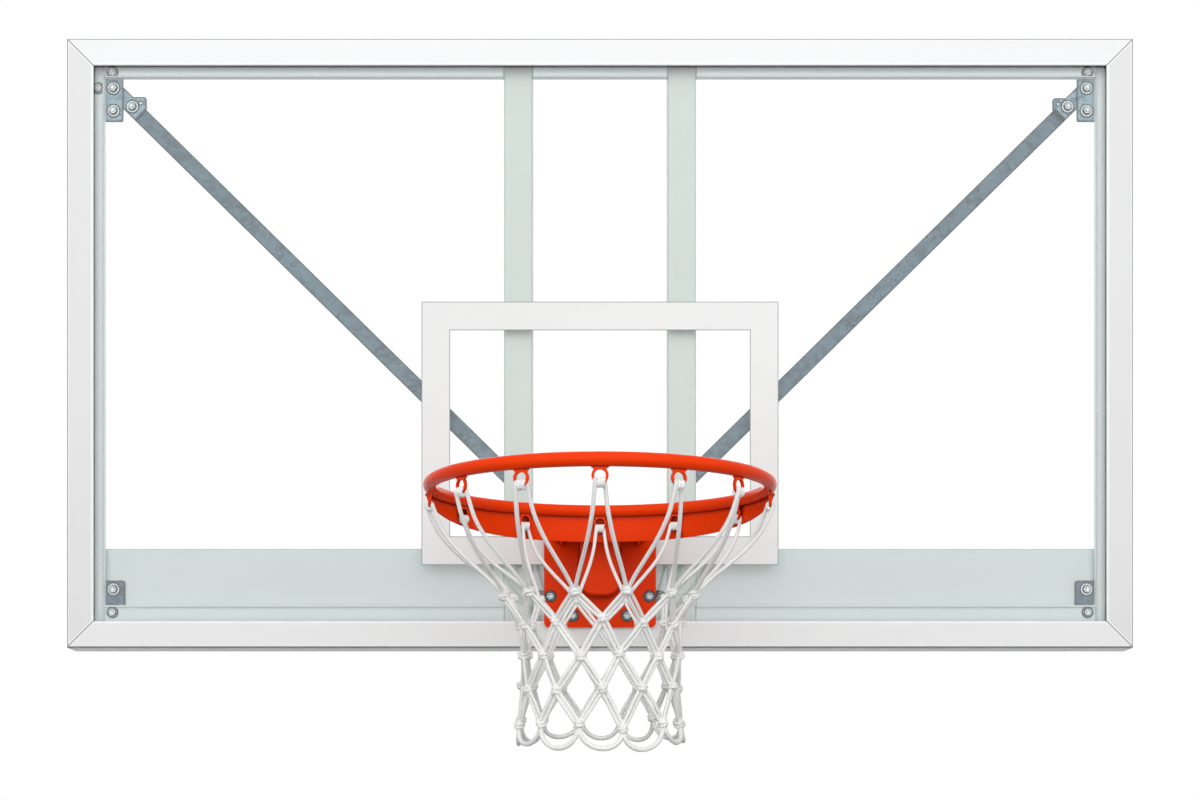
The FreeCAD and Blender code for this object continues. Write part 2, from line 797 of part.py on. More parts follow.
def brace_edge(inset, edge):
    """Height of the brace's upper (1) or lower (-1) edge at a distance in from the board's side."""
    return "half_height - brace_bolt_drop - brace_slope * (%s - brace_bolt_inset) + %d * brace_half_rise" % (
        inset, edge)


def make_lugs():
    """Each lug lies behind its bracket; its nose is cut square to the brace and has a small hole.
    On the right a strap as wide as the brace lies between bracket and lug."""
    bolt_z = "half_height - brace_bolt_drop"
    tail = "lug_margin + lug_length"
    nose = "brace_bolt_inset + lug_nose"
    for side, name in ((-1, "left"), (1, "right")):
        def corner(inset, z, *radius):
            return (mirrored(side, "half_width - (%s)" % inset), z) + radius
        middle = "half_height - bracket_bolt_drop - bracket_bolt_pitch / 2"
        shoulder = "brace_bolt_inset + (brace_half_rise - lug_nose_rise) / brace_slope"
        tip = "brace_bolt_inset + lug_nose - brace_slope * lug_cut"
        behind = [corner(tail, middle + " - lug_height / 2", "lug_round"),
                  corner("lug_margin", middle + " - lug_height / 2", "lug_round"),
                  corner("lug_margin", middle + " + lug_height / 2", "lug_round"),
                  corner(tail, middle + " + lug_height / 2", "lug_round")]
        outline = behind + [corner(tail, brace_edge(tail, 1)),
                            corner(shoulder, bolt_z + " + lug_nose_rise"),
                            corner(nose, bolt_z + " + lug_nose_rise", "lug_round"),
                            corner(nose, bolt_z + " - lug_nose_fall"),
                            corner(tip, brace_edge(tip, -1)),
                            corner(tail, brace_edge(tail, -1))]
        bolts = bored(bracket_bolt_spots(side) + [brace_bolt_spot(side)], "bolt_hole_radius")
        hole = corner("brace_bolt_inset + lug_hole_reach", bolt_z + " + lug_hole_rise", "lug_hole_radius")
        back = "lug_back_y" if side < 0 else "right_lug_back_y"
        node(plate("brace_lug_" + name, [outline], back, "lug_thickness", bolts + [hole]),
             "brace_lug_" + name)
        if side > 0:
            end = "brace_bolt_inset + lug_nose - brace_slope * lug_cut + 2 * brace_half_rise * brace_slope"
            end += " / (1 + brace_slope ^ 2)"
            strap = behind + [corner(tail, brace_edge(tail, 1)), corner(end, brace_edge(end, 1)),
                              corner(tip, brace_edge(tip, -1)), corner(tail, brace_edge(tail, -1))]
            node(plate("brace_strap_right", [strap], "lug_back_y", "lug_thickness", bolts),
                 "brace_strap_right")


def make_braces():
    """Each brace lies behind its lug, from behind the bracket down to the upright."""
    for side, name, front_y in ((-1, "left", "lug_back_y"), (1, "right", "right_lug_back_y")):
        end_x = mirrored(side, "half_width - brace_end_inset")
        foot_x = mirrored(side, "upright_outer")
        outline = [(end_x, brace_edge("brace_end_inset", 1)), (end_x, brace_edge("brace_end_inset", -1)),
                   (foot_x, "-brace_foot_drop - brace_half_rise"),
                   (foot_x, "brace_half_rise - brace_foot_drop")]
        holes = bored([brace_bolt_spot(side)], "bolt_hole_radius")
        node(plate("brace_" + name, [outline], front_y + " + brace_thickness", "brace_thickness", holes),
             "brace_" + name)


def make_bracket_bolts():
    left = bracket_bolt_spots(-1)
    right = bracket_bolt_spots(1)
    copies("bracket_bolts", (hex_bolt("left_bracket_bolt", "rail_back_y", "lug_back_y"), left),
           (hex_bolt("right_bracket_bolt", "rail_back_y", "right_lug_back_y"), right))
    copies("bracket_nuts", (hex_nut("left_bracket_nut", "lug_back_y"), left),
           (hex_nut("right_bracket_nut", "right_lug_back_y"), right))
    rails = [rail_bolt_spot(-1), rail_bolt_spot(1), side_bolt_spot(-1)]
    narrow = "narrow_flange_radius"
    copies("rail_bolts", (hex_bolt("rail_bolt", "fin_back_y", "bracket_back_y", narrow), rails))
    copies("rail_nuts", (hex_nut("rail_nut", "bracket_back_y"), rails))
    feet = [foot_bolt_spot(-1), foot_bolt_spot(1)]
    foot_rails = [foot_rail_bolt_spot(-1), foot_rail_bolt_spot(1)]
    copies("foot_bolts", (hex_bolt("foot_bolt", "rail_back_y", "goal_back_y"), feet),
           (hex_bolt("foot_rail_bolt", "fin_back_y", "goal_back_y", narrow), foot_rails))
    copies("foot_nuts", (hex_nut("foot_nut", "goal_back_y"), feet + foot_rails))


def make_brace_bolts():
    left = [brace_bolt_spot(-1)]
    right = [brace_bolt_spot(1)]
    left_back = "(lug_back_y + brace_thickness)"
    right_back = "(right_lug_back_y + brace_thickness)"
    copies("brace_bolts", (hex_bolt("left_bolt", "bracket_back_y", left_back), left),
           (hex_bolt("right_bolt", "bracket_back_y", right_back), right))
    copies("brace_nuts", (hex_nut("left_nut", left_back), left),
           (hex_nut("right_nut", right_back), right))


# Goal plate, cross member and what fixes the goal to them through the glass

def cross_bolt_spots():
    return (both_sides("cross_bolt_spread / 2", "-goal_bolt_low_drop")
            + both_sides("cross_bolt_spread / 2", "-goal_bolt_high_drop"))


def make_goal_plates():
    outer = "(half_width - bracket_margin)"
    spans = (("left", "-" + outer, "-upright_outer", [foot_bolt_spot(-1), foot_rail_bolt_spot(-1)]),
             ("middle", "-upright_inner", "upright_inner", goal_bolt_spots() + cross_bolt_spots()),
             ("right", "upright_outer", outer, [foot_bolt_spot(1), foot_rail_bolt_spot(1)]))
    for name, left, right, spots in spans:
        outline = rectangle(left, right, "-rail_half_height", "-goal_plate_drop")
        if name == "middle":
            outline = rectangle(left, right, "-rail_half_height", "-cross_top_drop")
        node(plate("goal_plate_" + name, [outline], "goal_back_y", "goal_plate_thickness",
                   bored(spots, "bolt_hole_radius")), "goal_plate_" + name)


def make_cross_member():
    outline = rectangle("-upright_inner", "upright_inner", "-cross_bottom_drop", "-cross_top_drop")
    holes = bored(goal_bolt_spots() + cross_bolt_spots(), "bolt_hole_radius")
    node(plate("cross_member", [outline], "bracket_back_y", "cross_thickness", holes), "cross_member")
    copies("cross_bolts", (hex_bolt("cross_bolt", "cross_front_y", "goal_back_y"), cross_bolt_spots()))
    copies("cross_nuts", (hex_nut("cross_nut", "goal_back_y"), cross_bolt_spots()))


def ring_of(name, inner, outer, y, length):
    tube = bar(name + "_tube", outer, length, y=y)
    hole = bar(name + "_hole", inner, "%s + 2 * cut_overrun" % length, y="%s - cut_overrun" % y)
    return without(name, tube, hole)


def make_goal_fixing():
    spots = goal_bolt_spots()
    bolt = hex_bolt("goal_bolt", "mount_front_y", "goal_back_y", "narrow_flange_radius")
    copies("goal_bolts", (bolt, spots))
    copies("goal_nuts", (hex_nut("goal_nut", "goal_back_y"), spots))
    sleeve = ring_of("sleeve", "bolt_hole_radius", "sleeve_radius", "mount_back_y",
                     "(cross_front_y - mount_back_y)")
    copies("goal_sleeves", (sleeve, spots))
    grommet = ring_of("grommet", "sleeve_radius + fit_gap", "sleeve_radius + fit_gap + grommet_wall",
                      "glass_front_y", "glass_thickness")
    copies("glass_grommets", (grommet, spots))


def make_mount_plate():
    half = "mount_plate_width / 2"
    low = "-mount_plate_bottom_drop"
    outline = [("-" + half, low, "mount_plate_round"), (half, low, "mount_plate_round"),
               (half, "-mount_plate_top_drop"), ("-" + half, "-mount_plate_top_drop")]
    node(plate("mount_plate", [outline], "mount_back_y", "mount_plate_thickness",
               bored(goal_bolt_spots(), "bolt_hole_radius")), "mount_plate")


# Breakaway hinge, spring housing, plunger and spring

def make_hinge():
    ears = []
    ear_outer = "neck_width / 2 - neck_wall - ear_gap"
    for side in (-1, 1):
        ear = new_body("hinge_ear")
        front = "-ear_radius - hinge_offset"
        outline = [("0", "-ear_radius"), (front, "-ear_radius", "ear_radius - fit_gap"),
                   (front, "ear_radius", "ear_radius - fit_gap"), ("0", "ear_radius")]
        pad(ear, "YZ_Plane", [outline], "ear_thickness", [("-hinge_offset", "0", "pin_radius + pin_gap")])
        start = ear_outer + " - ear_thickness" if side > 0 else "-(%s)" % ear_outer
        ears.append(place(ear, start, "mount_front_y", "-hinge_drop"))
    compound("hinge_ears", ears)
    half = "neck_width / 2 + clip_gap + clip_thickness + pin_overhang"
    pin = bar("hinge_pin", "pin_radius", "2 * (%s)" % half, "-(%s)" % half, "hinge_y", "-hinge_drop",
              axis=(1, 0, 0))
    node(pin, "hinge_pin")
    clips = []
    for side in (-1, 1):
        start = "neck_width / 2 + clip_gap"
        if side < 0:
            start = "-(%s + clip_thickness)" % start
        disc = bar("clip_disc", "clip_radius", "clip_thickness", start, "hinge_y", "-hinge_drop",
                   axis=(1, 0, 0))
        hole = bar("clip_hole", "pin_radius + pin_gap", "clip_thickness + 2 * cut_overrun",
                   start + " - cut_overrun", "hinge_y", "-hinge_drop", axis=(1, 0, 0))
        clips.append(without("pin_clip", disc, hole))
    compound("pin_clips", clips)


def make_housing():
    """A pocket for the spring: rounded corners in plan, a rounded end below, a bore from above."""
    front = new_body("housing_front")
    half = "housing_half_width"
    outline = [("-" + half, "-housing_top_drop"),
               ("-" + half, "-housing_bottom_drop", "housing_end_round"),
               (half, "-housing_bottom_drop", "housing_end_round"), (half, "-housing_top_drop")]
    pad(front, "XZ_Plane", [outline], "mount_front_y - plunger_y + housing_reach")
    place(front, y="mount_front_y")
    plan = new_body("housing_plan")
    nose_y = "plunger_y - housing_reach"
    outline = [("-" + half, "mount_front_y"), ("-" + half, nose_y, "housing_plan_round"),
               (half, nose_y, "housing_plan_round"), (half, "mount_front_y")]
    pad(plan, "XY_Plane", [outline], "housing_bottom_drop - housing_top_drop")
    place(plan, z="-housing_bottom_drop")
    block = doc.addObject("Part::MultiCommon", "housing_block")
    block.Shapes = [front, plan]
    bore = bar("housing_bore", "bore_radius", "bore_floor_drop - housing_top_drop + cut_overrun",
               0, "plunger_y", "-bore_floor_drop", axis=(0, 0, 1))
    node(without("housing", block, bore), "spring_housing")


def make_plunger():
    """A domed stem with a flange that sits on the spring and a guide inside it."""
    middle = "dome_top_z - dome_radius"
    dome = doc.addObject("Part::Sphere", "plunger_dome")
    bind(dome, Radius="dome_radius")
    place(dome, 0, "plunger_y", middle)
    foot = "plunger_flange_under_z - plunger_guide"
    stem = bar("plunger_stem", "dome_radius", "%s - (%s)" % (middle, foot), 0, "plunger_y", foot,
               axis=(0, 0, 1))
    flange = bar("plunger_flange", "plunger_flange_radius", "plunger_flange_height", 0, "plunger_y",
                 "plunger_flange_under_z", axis=(0, 0, 1))
    node(joined("plunger_whole", [dome, stem, flange]), "spring_plunger")


def biarc(start, start_way, finish, finish_way):
    """Two arcs that leave start and reach finish along the given directions."""
    span = finish - start
    ways = start_way + finish_way
    square = ways.dot(ways) - 4
    along = span.dot(ways)
    reach = (along - math.sqrt(along * along - square * span.dot(span))) / square
    first = start + start_way * reach
    last = finish - finish_way * reach
    joint = (first + last) / 2
    return [corner_arc(start, first, joint), corner_arc(joint, last, finish)]


def corner_arc(start, corner, finish):
    middle = (start + finish) / 2
    rise = corner - middle
    half = (finish - start).Length / 2
    sagitta = half * math.tan(math.atan2(rise.Length, half) / 2)
    return Part.Arc(start, middle + rise.normalize() * sagitta, finish).toShape()


def make_spring():
    """A compression spring from the bore floor to the plunger's flange."""
    wire = value("spring_wire_radius")
    radius = value("spring_radius")
    low = value("-bore_floor_drop + stop_gap") + wire
    high = value("plunger_flange_under_z - stop_gap") - wire
    quarters = int(value("spring_turns")) * 4
    pitch = (high - low) / (quarters / 4)

    def spot(quarter):
        angle = quarter * math.pi / 2
        return FreeCAD.Vector(radius * math.cos(angle), radius * math.sin(angle), low + pitch * quarter / 4)

    def way(quarter):
        angle = quarter * math.pi / 2
        rise = pitch / (2 * math.pi)
        return FreeCAD.Vector(-radius * math.sin(angle), radius * math.cos(angle), rise).normalize()

    edges = []
    for quarter in range(quarters):
        edges += biarc(spot(quarter), way(quarter), spot(quarter + 1), way(quarter + 1))
    path = Part.Wire(edges)
    section = Part.Wire(Part.Circle(spot(0), way(0), wire).toShape())
    coil = path.makePipeShell([section], True, False)
    line = path.discretize(Number=quarters * POINTS_PER_QUARTER_TURN)
    turn = len(line) * 4 // quarters
    least = min(line[index].distanceToPoint(other)
                for index in range(len(line) - turn) for other in line[index + turn // 2:index + 2 * turn])
    print("spring: least gap to itself %.2f mm" % (least - 2 * wire))
    spring = doc.addObject("Part::Feature", "spring_coil")
    spring.Shape = coil
    node(place(spring, 0, "plunger_y"), "breakaway_spring")


# Ring, skirt, neck, hooks and net: everything that tips when the ring breaks away

def make_ring():
    ring = doc.addObject("Part::Torus", "ring_rod")
    bind(ring, Radius1="ring_middle_radius", Radius2="ring_rod_radius")
    node(place(ring, 0, "ring_y", "-ring_drop"), "ring")


def make_skirt():
    """A band under the rear half of the ring; seen from the side, its lower edge is one long arc."""
    body = new_body("skirt")
    sketch = new_sketch(body, "YZ_Plane")
    draw_outline(sketch, rectangle("skirt_inner_radius", "skirt_outer_radius", "skirt_bottom", "skirt_top"))
    band = body.newObject("PartDesign::Revolution", "skirt_band")
    band.Profile = sketch
    band.ReferenceAxis = (sketch, ["V_Axis"])
    band.Midplane = True
    bind(band, Angle="180")
    edge_y = "skirt_outer_radius / 2 + skirt_edge_reach * skirt_edge_rise / skirt_edge_chord"
    edge_z = "skirt_bottom + skirt_edge_rise / 2 + skirt_edge_reach * skirt_outer_radius / skirt_edge_chord"
    disc = bar("skirt_edge", "skirt_edge_radius", "2 * (skirt_outer_radius + cut_overrun)",
               "-skirt_outer_radius - cut_overrun", edge_y, edge_z, axis=(1, 0, 0))
    skirt = doc.addObject("Part::MultiCommon", "skirt_cut")
    skirt.Shapes = [body, disc]
    node(place(skirt, 0, "ring_y", "-ring_drop"), "ring_skirt")


def make_neck():
    """A channel from the skirt back to the hinge; its top edge stops against the mount plate."""
    body = new_body("neck")
    half = "neck_width / 2"
    inside = "neck_width / 2 - neck_wall"
    low = "ring_bottom_z - neck_height"
    outline = [("-" + half, "ring_bottom_z"), ("-" + half, low), ("neck_wall - " + half, low),
               ("neck_wall - " + half, "neck_under_z"), (inside, "neck_under_z"), (inside, low),
               (half, low), (half, "ring_bottom_z")]
    back = "mount_front_y - stop_gap"
    pad(body, "XZ_Plane", [outline], "mount_front_y - stop_gap - ring_y")
    place(body, y=back)
    hinge = "hinge_y - mount_front_y + stop_gap"
    heel = [("cut_overrun", "neck_under_z"), (hinge + " + neck_heel", "neck_under_z"),
            (hinge + " + neck_heel", "-hinge_drop"), (hinge, low), ("cut_overrun", low)]
    pocket(body, "YZ_Plane", [heel])
    pocket(body, "YZ_Plane", circles=[(hinge, "-hinge_drop", "pin_radius + pin_gap")])
    pocket(body, "XY_Plane", circles=[("0", "ring_y - mount_front_y + stop_gap",
                                       "skirt_outer_radius + weld_gap")])
    node(body, "rim_neck")


def hook_turns():
    """Angles of the hooks from the front: closer together there than at the sides."""
    half = ["hook_front_pitch", "2 * hook_front_pitch", "2 * hook_front_pitch + hook_side_pitch",
            "180 - 2 * hook_rear_pitch", "180 - hook_rear_pitch"]
    return ["0"] + half + ["180"] + ["360 - (%s)" % turn for turn in reversed(half)]


def make_hooks():
    """Keyhole lugs with flared shoulders that hang under the rod."""
    loop_z = "-ring_rod_radius - hook_drop"
    middle = "-ring_middle_radius - hook_thickness / 2"
    disc = bar("hook_disc", "hook_radius", "hook_thickness", 0, middle, loop_z)
    flare = new_body("hook_flare_plate")
    top = "-ring_rod_radius - weld_gap"
    waist = loop_z + " + hook_shoulder"
    pad(flare, "XZ_Plane", [[("-hook_flare / 2", top), ("-hook_neck / 2", waist),
                             ("hook_neck / 2", waist), ("hook_flare / 2", top)]], "hook_thickness")
    place(flare, y="hook_thickness / 2 - ring_middle_radius")
    hole = bar("hook_hole", "hook_hole_radius", "hook_thickness + 2 * cut_overrun", 0,
               middle + " - cut_overrun", loop_z)
    slot = doc.addObject("Part::Box", "hook_mouth")
    bind(slot, Length="hook_slot", Width="hook_thickness + 2 * cut_overrun", Height="hook_radius * 2")
    place(slot, "-hook_slot / 2", middle + " - cut_overrun", loop_z + " - hook_radius * 2")
    hook = without("hook", joined("hook_lug", [disc, flare]), joined("hook_opening", [hole, slot]))
    links = []
    for turn in hook_turns():
        link = doc.addObject("App::Link", "hook_piece")
        link.LinkedObject = hook
        link.Placement = FreeCAD.Placement(FreeCAD.Vector(0, 0, 0),
                                           FreeCAD.Rotation(FreeCAD.Vector(0, 0, 1), 1))
        bind(link, Placement__Rotation__Angle=turn)
        links.append(place(link, 0, "ring_y", "-ring_drop"))
    compound("net_hooks", links)


def net_rows():
    """Radius and depth below the ring of the hooks, the five rows of knots and the hem."""
    rows = [(value("ring_middle_radius"), -value("net_top_depth"))]
    for row in ("first", "second", "third", "fourth", "fifth", "hem"):
        rows.append((value("net_%s_radius" % row), -value("net_%s_depth" % row)))
    return rows


def net_opening(corners, depth, turn):
    points = [FreeCAD.Vector(x, 0, z) for x, z in corners]
    face = Part.Face(Part.makePolygon(points + points[:1]))
    prism = face.extrude(FreeCAD.Vector(0, -depth, 0))
    prism.rotate(FreeCAD.Vector(0, 0, 0), FreeCAD.Vector(0, 0, 1), turn)
    return prism


def make_net():
    """A waisted sleeve with a diamond gap inside every four knots, open at hooks and hem."""
    rows = net_rows()
    half = value("net_thickness") / 2
    cord = value("net_cord") / 2
    over = value("cut_overrun")
    hooks = [value(turn) for turn in hook_turns()]
    count = len(hooks)
    step = 180 / count
    inside = [FreeCAD.Vector(radius - half, 0, z) for radius, z in rows]
    outside = [FreeCAD.Vector(radius + half, 0, z) for radius, z in reversed(rows)]
    section = Part.Face(Part.makePolygon(inside + outside + inside[:1]))
    sleeve = section.revolve(FreeCAD.Vector(0, 0, 0), FreeCAD.Vector(0, 0, 1), 360)
    widths = [radius * math.sin(math.radians(step)) - cord for radius, z in rows]
    levels = [z for radius, z in rows]
    last = len(rows) - 1
    tools = []
    for left, right, index in zip(hooks, hooks[1:] + [360], range(count)):
        turn = (2 * index + 1) * step
        low_x = rows[0][0] * math.sin(math.radians(left - turn)) + cord
        high_x = rows[0][0] * math.sin(math.radians(right - turn)) - cord
        corners = [(low_x, levels[0]), (low_x, levels[0] + over),
                   (high_x, levels[0] + over), (high_x, levels[0]), (0, levels[1] + cord)]
        tools.append(net_opening(corners, rows[0][0] + over, turn))
    for row in range(1, len(rows)):
        for index in range(count):
            turn = (2 * index + row + 1) * step
            above = hooks[(index + 1) % count] - turn if row == 1 else 0
            peak = (rows[row - 1][0] * math.sin(math.radians(above)), levels[row - 1] - cord)
            if row == last:
                corners = [peak, (widths[row], levels[row] - over), (-widths[row], levels[row] - over)]
            else:
                corners = [peak, (widths[row], levels[row]),
                           (0, levels[row + 1] + cord), (-widths[row], levels[row])]
            tools.append(net_opening(corners, rows[0][0] + over, turn))
    net = doc.addObject("Part::Feature", "net_sleeve")
    net.Shape = sleeve.cut(tools)
    node(place(net, 0, "ring_y", "-ring_drop"), "net")


def build():
    fill_sheets()
    make_frame()
    make_corner_keys()
    make_glass()
    make_side_rails()
    make_level_rails()
    make_rail_screws()
    make_uprights()
    make_brackets()
    make_lugs()
    make_braces()
    make_bracket_bolts()
    make_brace_bolts()
    make_goal_plates()
    make_cross_member()
    make_goal_fixing()
    make_mount_plate()
    make_hinge()
    make_housing()
    make_plunger()
    make_spring()
    make_ring()
    make_skirt()
    make_neck()
    make_hooks()
    make_net()
    doc.recompute()


def check():
    for thing in doc.Objects:
        if "Invalid" in thing.State or "Error" in thing.State:
            raise RuntimeError(thing.Label + " failed")
    for thing in nodes:
        shape = thing.Shape
        if shape.isNull() or not shape.isValid() or not shape.Solids:
            raise RuntimeError(thing.Label + " has no sound solid")


def write():
    os.makedirs("parts", exist_ok=True)
    for thing in nodes:
        thing.Shape.exportStep("parts/" + thing.Label + ".step")
    print("%d nodes, %d solids" % (len(nodes), sum(len(thing.Shape.Solids) for thing in nodes)))


build()
check()
write()
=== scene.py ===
import json
import math
import random

import bmesh
import bpy
from mathutils import Matrix, Vector

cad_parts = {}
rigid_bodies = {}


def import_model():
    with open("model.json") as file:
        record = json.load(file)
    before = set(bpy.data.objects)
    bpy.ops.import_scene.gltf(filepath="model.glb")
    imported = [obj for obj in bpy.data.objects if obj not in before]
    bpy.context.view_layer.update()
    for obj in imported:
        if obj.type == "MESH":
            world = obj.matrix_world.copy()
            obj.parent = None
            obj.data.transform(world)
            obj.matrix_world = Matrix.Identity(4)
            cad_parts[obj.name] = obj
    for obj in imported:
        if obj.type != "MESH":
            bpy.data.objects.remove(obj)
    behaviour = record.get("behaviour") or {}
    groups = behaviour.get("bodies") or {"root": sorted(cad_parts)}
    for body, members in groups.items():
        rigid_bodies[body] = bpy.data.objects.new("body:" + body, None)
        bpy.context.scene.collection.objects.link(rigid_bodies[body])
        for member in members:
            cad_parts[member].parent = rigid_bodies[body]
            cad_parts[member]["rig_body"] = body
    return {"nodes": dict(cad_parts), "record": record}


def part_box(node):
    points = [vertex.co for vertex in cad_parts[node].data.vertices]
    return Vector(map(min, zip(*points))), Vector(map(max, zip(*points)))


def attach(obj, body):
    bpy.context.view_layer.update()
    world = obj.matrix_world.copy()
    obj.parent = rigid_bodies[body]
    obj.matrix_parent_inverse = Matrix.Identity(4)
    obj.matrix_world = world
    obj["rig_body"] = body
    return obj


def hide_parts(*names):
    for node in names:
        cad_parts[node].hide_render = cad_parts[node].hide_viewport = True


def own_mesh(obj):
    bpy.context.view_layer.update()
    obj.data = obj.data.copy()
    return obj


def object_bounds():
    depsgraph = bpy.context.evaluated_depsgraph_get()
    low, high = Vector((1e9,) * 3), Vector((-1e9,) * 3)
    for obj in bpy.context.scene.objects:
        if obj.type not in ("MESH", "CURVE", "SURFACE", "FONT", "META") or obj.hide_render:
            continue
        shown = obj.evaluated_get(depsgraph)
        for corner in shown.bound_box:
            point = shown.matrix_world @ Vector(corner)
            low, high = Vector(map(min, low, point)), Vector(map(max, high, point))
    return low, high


bl_info = {
    "name": "Glass Backboard",
    "version": (1, 0, 0),
    "blender": (4, 5, 0),
    "location": "3D View > Sidebar > Backboard",
    "description": "Builds the finish of a framed glass backboard with a breakaway ring and a cord net",
    "category": "Object",
}

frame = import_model()
bpy.context.view_layer.update()
CAD_LOW, CAD_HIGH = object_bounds()
NODES = frame["nodes"]
SLOT_OF = {part["node"]: part["material_slot"] for part in frame["record"]["subparts"]}

RING_LOW, RING_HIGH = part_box("ring")
RING_CENTRE = (RING_LOW + RING_HIGH) / 2
ROD_RADIUS = (RING_HIGH.z - RING_LOW.z) / 2
RING_RADIUS = (RING_HIGH.x - RING_LOW.x) / 2 - ROD_RADIUS

IMAGE_WIDTH = 1200
IMAGE_HEIGHT = 800
WHITE = (1, 1, 1, 1)


def tone(red, green, blue):
    """A screen colour, 0 to 255, as the linear colour that a shader takes."""
    def linear(channel):
        share = channel / 255
        return share / 12.92 if share <= 0.04045 else ((share + 0.055) / 1.055) ** 2.4
    return (linear(red), linear(green), linear(blue))


def length(description, default):
    return bpy.props.FloatProperty(description=description, default=default, unit="LENGTH", precision=5,
                                   step=0.1)


def number(description, default):
    return bpy.props.FloatProperty(description=description, default=default, precision=4)


def power(description, default):
    return bpy.props.FloatProperty(description=description, default=default, unit="POWER")


def count(description, default):
    return bpy.props.IntProperty(description=description, default=default, min=1)


def colour(description, default):
    return bpy.props.FloatVectorProperty(description=description, default=default, subtype="COLOR", size=3,
                                         min=0, max=1)


def row_lengths(description, default):
    return bpy.props.FloatVectorProperty(description=description, default=default, size=len(default),
                                         unit="LENGTH", precision=4)


class BoardSettings(bpy.types.PropertyGroup):
    """Sizes and colours of the frame, the glass and the steel behind it."""
    frame_edge: length("Rounding of the frame's cut edges", 0.0014)
    frame_lip: length("Front face of the frame inside its overall size", 0.006)
    frame_face: length("Width of the frame's front face", 0.045)
    # Width of the painted highlight band along the frame's edges.
    frame_band: length("Width of the pale band along the frame's edges", 0.0038)
    frame_line: length("Width of the fine line at the arris and at the mitres", 0.0017)
    steel_edge: length("Rounding of the edges of plates, rails and uprights", 0.0004)
    glass_edge: length("Polished arris round the glass", 0.001)
    square_line: length("Width of the target square's line", 0.049)
    keyline: length("Width of the thin grey edge of the target square", 0.0014)
    bolt_flats: length("Width across the flats of a bolt's head", 0.011)
    nut_flats: length("Width across the flats of a nut", 0.013)
    bolt_head: length("Height of a bolt's head with its flange", 0.0042)
    bolt_flange: length("Thickness of a bolt's flange", 0.001)
    bolt_groove: length("Width of the groove round a bolt's head", 0.0013)
    bolt_dish: length("Depth of the dish in a bolt's head", 0.0004)
    bolt_shank: length("Radius of a bolt's shank", 0.004)
    # The dark ring under each flange stands for the shade round it: painted shade.
    shade_ring_rim: length("How far the dark washer shows round a flange", 0.0022)
    shade_ring_height: length("Thickness of the dark washer", 0.0005)
    thread_pitch: length("Distance between threads", 0.00125)
    thread_run: length("Length of thread that shows", 0.01)
    nut_bevel: length("Depth of the bevel round a nut's hole", 0.0005)
    screw_head: length("Height of a small screw's head", 0.0024)
    screw_centre: length("Radius of the innermost ring in a screw's socket", 0.0002)
    screw_point: length("Length of a screw's tapered point", 0.001)
    fastener_seed: count("Start of the turns of bolts, nuts and screws", 5)
    # The three member whites are lit and shaded copies of one powder coat, painted light: the top member
    # lightest, the side members darkest.
    frame_white: colour("Satin white powder coat of the side members", tone(227, 227, 226))
    top_white: colour("Satin white powder coat of the top member", tone(240, 240, 240))
    foot_white: colour("Satin white powder coat of the bottom member", tone(236, 236, 235))
    # Painted highlight along the frame's edges and beside the mitres.
    frame_pale: colour("Paler band along the frame's edges", tone(250, 250, 250))
    # Grey at the outer arris is painted shade of the rounded side; at the mitres the same grey marks the
    # joints.
    frame_arris: colour("Grey of the arris and of the mitres", tone(96, 96, 95))
    gasket_black: colour("Black rubber of gaskets and grommets", tone(26, 32, 31))
    glass_tint: colour("Light that the glass lets through", (0.988, 0.996, 0.993))
    glass_index: number("Index of refraction of the glass", 1.5)
    glass_faces: number("Mirror of both faces together, in mirrors of one", 1.6)
    square_white: colour("White print of the target square", tone(234, 234, 233))
    # Grey band along the print's edges: painted shade.
    keyline_grey: colour("Grey edge of the print", tone(150, 154, 153))
    # The rails' paint is lighter than the same paint on the uprights: painted light against the shade under
    # the frame's lip.
    rail_pale_lit: colour("Palest grey-green paint, on the rails", tone(246, 255, 255))
    upright_grey: colour("Grey-green paint of the uprights", tone(195, 204, 199))
    plate_grey: colour("Grey-green paint of plates and cross member", tone(199, 208, 207))
    foot_grey: colour("Grey-green paint of the bottom rail", tone(208, 218, 217))
    bracket_dark: colour("Darker grains of the brackets' zinc", tone(86, 110, 122))
    bracket_light: colour("Lighter grains of the brackets' zinc", tone(131, 156, 167))
    brace_dark: colour("Darker grains of the braces' zinc", tone(42, 65, 77))
    brace_light: colour("Lighter grains of the braces' zinc", tone(78, 103, 116))
    brace_edge: length("Rounding of the edges of brackets and braces", 0.0006)
    # Width of the painted shade along the edges of brackets and braces.
    brace_edge_shade: length("Width of the dark edge of brackets and braces", 0.0055)
    steel_line: length("Width of the darker edge of rails, uprights and plates", 0.0028)
    steel_shade: colour("Darker edge of rails, uprights and plates", tone(128, 144, 140))
    zinc: colour("Bright zinc plate of bolts, nuts and screws", tone(172, 180, 184))
    # A lighter copy of the bolts' zinc for the bolts in the rails: painted light where they sit in the
    # frame's shade.
    pale_zinc: colour("Dull zinc plate of the bolts in the rails", tone(250, 252, 252))
    dark_zinc: colour("Blackened bolts of the cross member", tone(66, 82, 90))
    # Painted shade of the bolts: dark ring round each flange, groove and dish wall.
    washer_black: colour("Dark washers and grooves of the bolts", tone(30, 40, 45))
    aluminium: colour("Mill finish aluminium of the corner keys", tone(200, 202, 204))


